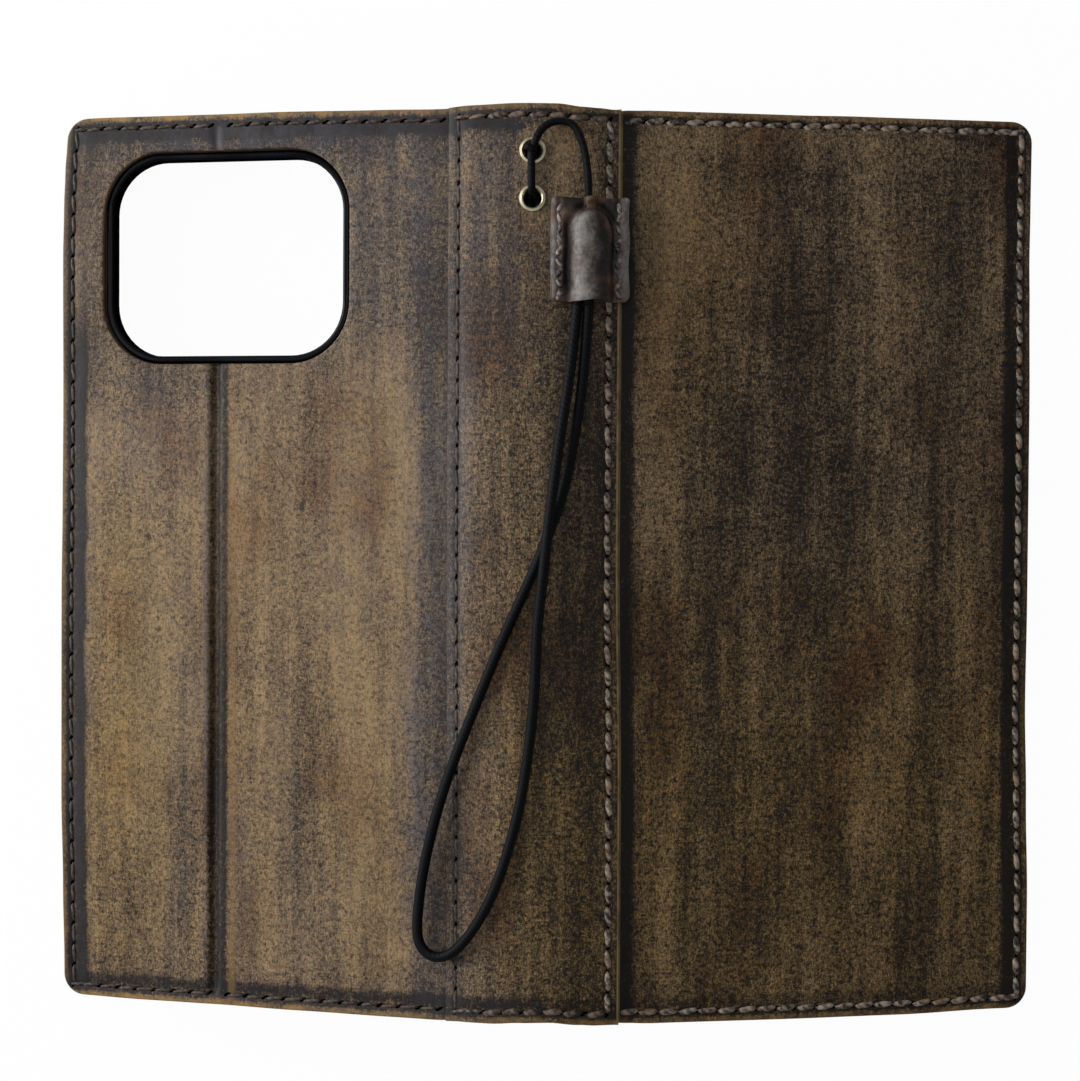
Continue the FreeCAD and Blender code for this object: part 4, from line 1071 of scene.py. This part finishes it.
soften_rim(lining_front, 0.2 * MM, butt=(LINING_JOINT,))
core = spine_sheet("spine_core_board", -half_arc + 0.3 * MM, half_arc - 0.3 * MM, COVER_TOP, 1.6 * MM,
                   holes=True, rim=0.2 * MM)
for sheet in (lining_back, lining_left, lining_right, lining_front, core):
    lay_sheet(sheet, (lining_leather, edge_leather))
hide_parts("stand_strip_lining", "back_lining")
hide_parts("back_lining", "spine_lining")
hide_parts("spine_lining", "front_lining")
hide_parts("front_lining")
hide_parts("spine_core")
tuple(lay(CREASE - 1.5 * MM, 0, LINING_TOP))
tuple(lay(CREASE + 1.5 * MM, 0, LINING_TOP))
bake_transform(lining_back)
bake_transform(lining_left)
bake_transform(lining_right)
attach(lining_front, "front_cover")
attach(core, "spine")

# %% Pockets inside the front cover
pocket_middle = (LINING_JOINT + FRONT_EDGE) / 2


def pocket(name, top_v, top_n, thickness, notch):
    """A panel of the wallet, with a thumb notch in its mouth if it holds cards."""
    panel = cut_sheet(name, LINING_JOINT, FRONT_EDGE, -HALF_HEIGHT, top_v, top_n, thickness)
    pick(panel, "edges", lambda e: upright(e) and abs(e.verts[0].co.x - FRONT_EDGE) < 0.01 * MM
         and (e.verts[0].co.y < 0 or not notch))
    if top_v > HALF_HEIGHT - 1 * MM or notch:
        bpy.ops.mesh.bevel(offset=EDGE_RADIUS, segments=8, affect="EDGES")
    if notch:
        pick_none()
        bpy.ops.mesh.primitive_cylinder_add(vertices=64, radius=9 * MM, depth=10 * MM,
                                            location=(pocket_middle, top_v + 4 * MM, top_n))
        carve(panel, bpy.context.object)
    soften_rim(panel, 0.2 * MM)
    lay_sheet(panel, (pocket_leather, edge_leather))
    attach(panel, "front_cover")
    return panel


note = pocket("note_pocket_panel", HALF_HEIGHT, -4.1 * MM, 1.0 * MM, False)
upper_card = pocket("upper_card_pocket", 14 * MM, -5.1 * MM, 0.8 * MM, True)
lower_card = pocket("lower_card_pocket", -8 * MM, -5.9 * MM, 0.8 * MM, True)
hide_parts("note_pocket")
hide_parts("card_pocket_upper")
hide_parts("card_pocket_lower")

# %% [markdown]
# ## Stitches
# A saddle stitch is a short length of waxed thread that dives into a slit at each end. One is
# modelled from a thin cylinder: it is cut into rings, its ends are narrowed and pushed down,
# and its middle is swollen a little. Copies lie between the awl holes, each on the body that
# its leather belongs to, and each row is joined into one piece.

# %% One stitch
def make_stitch(name, length, radius, flat=0.75, rings=5):
    """A thread along Y that rises in the middle and dives at both ends."""
    pick_none()
    bpy.ops.mesh.primitive_cylinder_add(vertices=8, radius=radius, depth=length,
                                        rotation=(math.pi / 2, 0, 0))
    stitch = bpy.context.object
    stitch.name = name
    bpy.ops.object.transform_apply()
    pick(stitch, "verts", lambda v: True)
    for k in range(1, rings + 1):
        bpy.ops.mesh.select_all(action="SELECT")
        bpy.ops.mesh.bisect(plane_co=(0, length * (k / (rings + 1) - 0.5), 0), plane_no=(0, 1, 0))
    for share, size, drop in ((0.49, 0.55, 0.9), (0.3, 0.9, 0.12)):
        pick(stitch, "verts", lambda v: abs(v.co.y) > length * share)
        bpy.ops.transform.translate(value=(0, 0, -radius * drop))
        bpy.ops.transform.resize(value=(size, 1, size), center_override=(0, 0, -radius * drop))
    pick(stitch, "verts", lambda v: abs(v.co.y) < length * 0.1)
    bpy.ops.transform.resize(value=(1.12, 1, 1.1), center_override=(0, 0, 0))
    bpy.ops.mesh.select_all(action="SELECT")
    bpy.ops.transform.resize(value=(1, 1, flat), center_override=(0, 0, 0))
    pick_only(stitch)
    bpy.ops.object.shade_smooth()
    return stitch


def join_row(name, parts):
    pick_none()
    for part in parts:
        part.select_set(True)
    bpy.context.view_layer.objects.active = parts[0]
    if len(parts) > 1:
        bpy.ops.object.join()
    row = bpy.context.object
    row.name = name
    row.data.name = name
    return row


def sew(name, master, spots, finish, body, seed, slant=0.0, lift=-0.1 * MM, top=COVER_TOP):
    """Copies a stitch to every spot: across, along and the turn of its row."""
    dice = random.Random(seed)
    parts = []
    for across, along, turn in spots:
        spin = Matrix.Rotation(turn + slant + dice.uniform(-0.06, 0.06), 4, "Z")
        size = dice.uniform(0.92, 1.08)
        shift = Matrix.Translation((dice.uniform(-0.06, 0.06) * MM, dice.uniform(-0.08, 0.08) * MM, 0))
        place = lay_frame(across, along, top + lift)
        parts.append(copy_to(master, place @ shift @ spin @ Matrix.Diagonal((size, 1, size, 1))))
    row = join_row(name, parts)
    dress(row, finish)
    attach(row, body)
    return row


# %% Threads
def waxed_thread(name, dark, light, red):
    """Twisted thread, rubbed pale on top and stained by the dye in places."""
    f = Finish(name)
    surface = f.surface()
    stain = f.noise(surface, (620, 620, 620), 4.0, 0.65)
    fibre = f.noise(surface, (2400, 2400, 2400), 2.0)
    twist = f.add("TexWave", {"Vector": surface, "Scale": 380.0, "Distortion": 1.5, "Detail": 1.0},
                  bands_direction="DIAGONAL").outputs[1]
    body = f.plus(f.times(stain, 0.75), f.times(twist, 0.1))
    body = f.plus(body, f.times(fibre, 0.15))
    shade = f.ramp(body, [(0.4, dark), (0.6, light)])
    shade = f.mix(f.between(f.noise(surface, (160, 160, 160), 2.0), 0.55, 0.7, 0.0, 0.6), shade, red)
    height = f.plus(f.times(twist, 0.5), fibre)
    return f.set(colour=shade, roughness=0.6, gloss=0.35, normal=f.bump(height, 0.6, 0.00015))


thread_dark = waxed_thread("thread_dark", tone(30, 25, 23), tone(80, 69, 60), tone(72, 52, 40))
thread_mid = waxed_thread("thread_mid", tone(30, 25, 23), tone(118, 100, 88), tone(92, 64, 48))
thread_light = waxed_thread("thread_light", tone(36, 31, 28), tone(158, 142, 126), tone(120, 88, 60))

# %% Rows of stitches
thin_stitch = make_stitch("thin_stitch", 3.5 * MM, 0.34 * MM)
thick_stitch = make_stitch("thick_stitch", 3.7 * MM, 0.56 * MM)
GAPS_UP = [(k - 20) * PITCH for k in range(41)]
ACROSS = math.pi / 2


def gaps(places, low=-1.0, high=1.0):
    """The middles between neighbouring slits."""
    middles = [(p + q) / 2 for p, q in zip(places, places[1:])]
    return [x for x in middles if low < x < high]


def row_up(a):
    """Spots of a row along the spine."""
    return [(a, v, 0) for v in GAPS_UP]


def rows_across(places):
    """Spots of the rows along the lower and the upper end."""
    return [(x, s * (HALF_HEIGHT - STITCH_IN), ACROSS) for x in places for s in (-1, 1)]


strip = row_up(BACK_ROW) + rows_across(gaps([BACK_ROW + 0.2 * MM] + back_ends, high=CREASE - 2.2 * MM))
back_ends_middle = rows_across(gaps(back_ends, low=CREASE + 2.2 * MM, high=LEFT_SEAM_EDGE - 1.6 * MM))
front_rows = row_up(FRONT_ROW) + rows_across(gaps([RIGHT_SEAM_EDGE + 0.4 * MM] + front_ends + [FRONT_ROW - 0.2 * MM]))
spine_gaps = gaps([LEFT_SEAM_ROW + 0.2 * MM] + spine_ends + [RIGHT_SEAM_ROW - 0.2 * MM])
sew("stitches_strip", thin_stitch, strip, thread_dark, "tray", 1, slant=0.1)
sew("stitches_back", thin_stitch, back_ends_middle, thread_dark, "back_cover", 2, slant=0.1)
sew("stitches_left_seam", thin_stitch, row_up(LEFT_SEAM_ROW), thread_dark, "back_cover", 3,
    slant=0.05, top=0.0, lift=-0.2 * MM - skive(LEFT_SEAM_ROW))
sew("stitches_right_seam", thick_stitch, row_up(RIGHT_SEAM_ROW), thread_light, "front_cover", 4, slant=0.16, top=0.0)
sew("stitches_front", thick_stitch, front_rows, thread_light, "front_cover", 5, slant=0.14)
for name, low, high, body in (("stitches_spine_back", -1, -half_arc, "back_cover"),
                              ("stitches_spine", -half_arc, half_arc, "spine"),
                              ("stitches_spine_front", half_arc, 1, "front_cover")):
    sew(name, thick_stitch if body != "back_cover" else thin_stitch,
        rows_across([x for x in spine_gaps if low < x <= high]), thread_mid, body, 6, slant=0.14, top=0.0)

# %% The same stitches where they come out inside
inside = {"lift": 0.1 * MM, "slant": 0.04}
LINED = -4.1 * MM
sew("stitches_inside_strip", thin_stitch, strip, thread_dark, "tray", 7, top=LINED, **inside)
sew("stitches_inside_back", thin_stitch, back_ends_middle + row_up(LEFT_SEAM_ROW), thread_dark,
    "back_cover", 8, top=LINED, **inside)
sew("stitches_inside_seam", thin_stitch, row_up(RIGHT_SEAM_ROW), thread_dark, "front_cover", 9, top=LINED, **inside)
for name, low, high, level in (("upper", 14, 90, -5.1), ("middle", -8, 14, -5.9), ("lower", -90, -8, -6.7)):
    row = [spot for spot in front_rows if low * MM < spot[1] < high * MM and spot[0] > LINING_JOINT]
    sew("stitches_inside_front_" + name, thin_stitch, row, thread_dark, "front_cover", 10, top=level * MM, **inside)
bpy.data.objects.remove(thin_stitch)

# %% [markdown]
# ## The keeper
# The keeper is a patch of leather wetted and pressed over the ends of the cords, so that it
# stands up in a rounded channel, and sewn down on both sides. A fine grid takes that shape:
# its points are lifted by a profile across the patch, and the channel closes in a dome at the
# upper end. Solidify then gives the leather its thickness.

# %% Where the keeper lies
KEEPER_HALF = 7.1 * MM
KEEPER_LONG = 18.7 * MM
KEEPER_LOW = 0.5 * MM
CORNER = 0.8            # rounding of the patch, in mm
CORNER_X, CORNER_Y, MIDDLE_Y = 6.3, 8.55, 9.85
WHIP_LEFT, WHIP_RIGHT = -5.7, 5.2
keeper_place = (crown @ Matrix.Translation((9.0 * MM, 47.6 * MM, -0.5 * MM))
                @ Matrix.Rotation(math.radians(8), 4, "Y"))


def keeper_height(x, y):
    """Top of the keeper above its flat part, in mm, at a place on the patch in mm."""
    top_end = 17.1 - 3.75
    reach = abs(x - 0.15) if y < top_end else math.hypot(x - 0.15, y - top_end)
    bulge = 2.7 * math.sqrt(max(0.0, 1 - min(reach / 3.8, 1.0) ** 2.7))
    foot = 0.85 * math.exp(-((reach - 4.2) / 0.75) ** 2)
    tunnel = 1.5 * math.sqrt(max(0.0, 1 - min(abs(x) / 1.2, 1.0) ** 2.6)) * fade((y - 14) / 1.5)
    rim = min(7.1 - abs(x), y - 0.5, 19.2 - y)
    flare = 0.25 * fade(1 - (y - 0.5) / 1.6) * (1 if reach < 5 else 0.3)
    lumps = 0.05 * math.sin(0.9 * x + 0.5 * y) * math.sin(0.8 * y + 0.4) + 0.03 * math.sin(1.7 * x - 1.1 * y + 2)
    seams = 0.3 * (math.exp(-((x - WHIP_LEFT) / 0.45) ** 2) + math.exp(-((x - WHIP_RIGHT) / 0.45) ** 2))
    curl = -0.3 * fade(1 - rim / 0.9) ** 2
    return max(bulge, tunnel) - foot + flare + lumps - seams + curl


# %% The moulded patch
pick_none()
bpy.ops.mesh.primitive_grid_add(x_subdivisions=46, y_subdivisions=58, size=1.0,
                                location=(0, KEEPER_LOW + KEEPER_LONG / 2, 2.2 * MM))
keeper = bpy.context.object
keeper.name = "keeper_moulded"
keeper.scale = (2 * KEEPER_HALF, KEEPER_LONG, 1.0)
bpy.ops.object.transform_apply()
for vertex in keeper.data.vertices:
    x, y = vertex.co.x / MM, vertex.co.y / MM
    vertex.co.z += keeper_height(x, y) * MM
    across, along = abs(x) - CORNER_X, abs(y - MIDDLE_Y) - CORNER_Y
    if across > 0 and along > 0 and math.hypot(across, along) > CORNER:
        shrink = CORNER / math.hypot(across, along)
        vertex.co.x = math.copysign(CORNER_X + across * shrink, x) * MM
        vertex.co.y = (MIDDLE_Y + math.copysign(CORNER_Y + along * shrink, y - MIDDLE_Y)) * MM
    vertex.co.x += 0.12 * MM * math.sin(0.7 * y) * abs(x) / 7
    vertex.co.y += 0.15 * MM * math.sin(0.9 * x + 1) * abs(y - MIDDLE_Y) / 9
rub = keeper.data.attributes.new("rub", "FLOAT", "POINT")
bare = keeper.data.attributes.new("bare", "FLOAT", "POINT")
for vertex in keeper.data.vertices:
    x, y = vertex.co.x / MM, vertex.co.y / MM
    # painted light and shade on the keeper: its left side painted lit, and its right side, the recess at its top and
    # the groove left of the bulge painted in shade; the flaps get a lighter tone
    lit_left = math.exp(-((x + 1.9) / 1.4) ** 2) * fade((17.5 - y) / 2)
    shaded_right = fade((x - 0.2) / 1.2) * fade((4.6 - x) / 0.5)
    shaded_top = fade((y - 16.4) / 1.2) * fade((6.4 - abs(x)) / 1.0)
    shaded_groove = math.exp(-((x + 4.35) / 0.75) ** 2) * fade((16.0 - y) / 1.0) * fade((y - 2.6) / 1.0)
    flap = fade((abs(x) - 4.9) / 0.6) * (0.23 if x < 0 else 0.3)
    rub.data[vertex.index].value = 0.5 + flap + 0.34 * lit_left - 0.42 * max(shaded_right, shaded_top, shaded_groove)
    neck = math.exp(-((abs(x) / 1.3) ** 4)) * fade((y - 16.6) / 0.8)
    foot = fade((1.6 - y) / 1.2) * (0.7 if abs(x + 0.5) > 3.6 else 0.25)
    corner = 0.6 * fade((3.6 - y) / 2.4) * fade((abs(x) - 3.8) / 0.8)
    bare.data[vertex.index].value = max(neck, foot, corner)
wall = keeper.modifiers.new("wall", "SOLIDIFY")
wall.thickness = 0.95 * MM
wall.offset = -1.0
bpy.ops.object.modifier_apply(modifier="wall")
bpy.ops.object.shade_smooth_by_angle(angle=math.radians(55))
keeper.data.transform(keeper_place)

pick_none()
keeper_under = cut_sheet("keeper_base", -KEEPER_HALF, KEEPER_HALF, KEEPER_LOW, KEEPER_LOW + KEEPER_LONG,
                         1.15 * MM, 1.1 * MM)
for side in (-KEEPER_HALF, KEEPER_HALF):
    round_corners(keeper_under, side, CORNER * MM, 4)
soften_rim(keeper_under, 0.2 * MM)
pick_none()
keeper_under.data.transform(keeper_place)

# %% Its finish
def keeper_finish(name, rubbed=True):
    f = Finish(name)
    surface = f.surface()
    cloud = f.noise(surface, (230, 170, 230), 5.0, 0.65)
    speck = f.noise(surface, (1500, 1500, 1500), 3.0, 0.6)
    total = f.plus(f.times(cloud, 0.7), f.times(speck, 0.3))
    # the keeper's painted light and shade, with the lighter tone of its flaps
    if rubbed:
        total = f.plus(total, f.swing(f.painted("rub"), 0.42))
    shade = f.ramp(total, [(0.33, tone(24, 21, 20)), (0.45, tone(52, 46, 43)), (0.56, tone(88, 82, 78)),
                           (0.70, tone(124, 121, 118))])
    russet = f.between(f.noise(surface, (170, 170, 170), 3.0, 0.5, (4, 4, 4)), 0.54, 0.68, 0.0, 0.7)
    shade = f.mix(russet, shade, tone(104, 72, 56))
    if rubbed:
        shade = f.mix(f.times(f.painted("bare"), f.between(speck, 0.3, 0.6, 0.5, 1.0)), shade, tone(82, 60, 46))
    return f.set(colour=shade, roughness=0.58, gloss=0.3, normal=f.bump(total, 0.6, 0.0004))


keeper_leather = keeper_finish("keeper_leather")
keeper_base_leather = keeper_finish("keeper_base_leather", rubbed=False)
for piece, node, finish in ((keeper, "keeper_front", keeper_leather),
                            (keeper_under, "keeper_back", keeper_base_leather)):
    dress(piece, finish)
    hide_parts(node)
    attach(piece, "strap")

# %% Whip stitches on its two sides
whip_parts = []
dice = random.Random(11)
for x, lean in ((WHIP_LEFT, 0.5), (WHIP_RIGHT, -0.55)):
    for k in range(9):
        y = 1.6 + 1.95 * k
        turn = lean * (1 if k % 2 else -0.7) + dice.uniform(-0.25, 0.25)
        place = Matrix.Translation((x * MM, (y + dice.uniform(-0.1, 0.1)) * MM,
                                    (2.2 + keeper_height(x, y) + 0.1) * MM))
        size = Matrix.Diagonal((0.74 * dice.uniform(0.85, 1.15), 0.6, 0.8, 1))
        whip_parts.append(copy_to(thick_stitch, keeper_place @ place @ Matrix.Rotation(turn, 4, "Z") @ size))
whip = join_row("keeper_stitches", whip_parts)
dress(whip, waxed_thread("thread_keeper", tone(30, 24, 23), tone(158, 144, 138), tone(122, 84, 58)))
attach(whip, "strap")
bpy.data.objects.remove(thick_stitch)

# %% [markdown]
# ## Eyelets, hitch and the string inside
# The brass eyelets are turned parts, and their solids already have the right shape, so they
# only get the finish of stamped brass. The string is doubled where it passes through them,
# and its loop crosses over itself at the upper eyelet in a small hitch.

# %% Brass
def brass_finish(name, colour):
    f = Finish(name)
    surface = f.surface()
    tarnish = f.noise(surface, (600, 600, 600), 4.0)
    shade = f.ramp(tarnish, [(0.3, tuple(c * 0.45 for c in colour)), (0.6, colour)])
    rough = f.between(tarnish, 0.3, 0.7, 0.42, 0.3)
    return f.set(colour=shade, metallic=1.0, roughness=rough,
                 normal=f.bump(f.noise(surface, (2500, 2500, 900), 2.0), 0.15, 0.00005))


def dress_solids(finish, *names):
    """Gives a finish to solids that are shown as they are."""
    for name in names:
        for slot in frame["nodes"][name].material_slots:
            slot.material = finish


dress_solids(brass_finish("brass", tone(246, 236, 200)),
             "eyelet_upper", "eyelet_lower", "eyelet_washer_upper", "eyelet_washer_lower")


# %% A length of string made from a rounded bar
def string_bar(name, low, high, width, thick, place):
    """A bar along Y with all its edges well rounded."""
    pick_none()
    bpy.ops.mesh.primitive_cube_add(size=1.0, location=(0, (low + high) / 2, 0))
    bar = bpy.context.object
    bar.name = name
    bar.scale = (width, high - low, thick)
    bpy.ops.object.transform_apply()
    pick(bar, "edges", lambda e: True)
    bpy.ops.mesh.bevel(offset=0.48 * thick, segments=5, affect="EDGES")
    pick_only(bar)
    bpy.ops.object.shade_smooth()
    bar.data.transform(place)
    dress(bar, cord_black)
    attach(bar, "spine")
    return bar


hitch = string_bar("string_crossing", -1.0 * MM, 1.0 * MM, 1.35 * MM, 1.3 * MM,
                   crown @ Matrix.Translation((-1.75 * MM, 75.6 * MM, 2.25 * MM))
                   @ Matrix.Rotation(math.radians(62), 4, "Z"))
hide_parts("string_hitch")
for shift, name in ((-0.85, "string_inside_left"), (0.85, "string_inside_right")):
    string_bar(name, 64.9 * MM, 77.3 * MM, 1.7 * MM, 1.4 * MM,
               crown @ Matrix.Translation(((-1.3 + shift) * MM, 0, -5.5 * MM)))

# %% The loop's two ends inside the keeper
stubs = [string_bar(f"loop_end_{k}", 0, 8.3 * MM, 1.9 * MM, 1.9 * MM,
                    crown @ Matrix.Translation((x * MM, 47.1 * MM, 1.75 * MM))) for k, x in enumerate((7.05, 9.0))]
ends_piece = join_row("loop_ends_inside", stubs)
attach(ends_piece, "strap")
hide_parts("loop_ends")

# %% [markdown]
# ## The moulded tray
# The hard tray keeps its solid shape. It is injection moulded in black, with a fine spark
# texture on its walls and a smoother rim round the cameras, where fingers polish it.

# %% Black plastic and the adhesive
def moulded_finish(name, colour, roughness):
    f = Finish(name)
    surface = f.surface()
    spark = f.noise(surface, (2400, 2400, 2400), 2.0)
    wear = f.noise(surface, (90, 90, 90), 4.0)
    shade = f.ramp(wear, [(0.35, colour), (0.7, tuple(c * 1.6 for c in colour))])
    # the walls are matt from the mould, and faces that fingers polish are smoother
    upward = f.add("SeparateXYZ", {0: f.add("TexCoord").outputs["Normal"]}).outputs["Z"]
    smooth = f.between(wear, 0.35, 0.65, roughness, roughness + 0.12)
    matt = f.between(upward, 0.3, 0.7, 0.9, 0.0)
    return f.set(colour=shade, roughness=f.most(smooth, matt),
                 gloss=f.between(upward, 0.3, 0.7, 0.0, 0.12), normal=f.bump(spark, 0.12, 0.00008))


dress_solids(moulded_finish("moulded_black", tone(2, 3, 7), 0.2), "phone_tray")
dress_solids(moulded_finish("adhesive_film", tone(120, 116, 108), 0.45), "tray_adhesive")
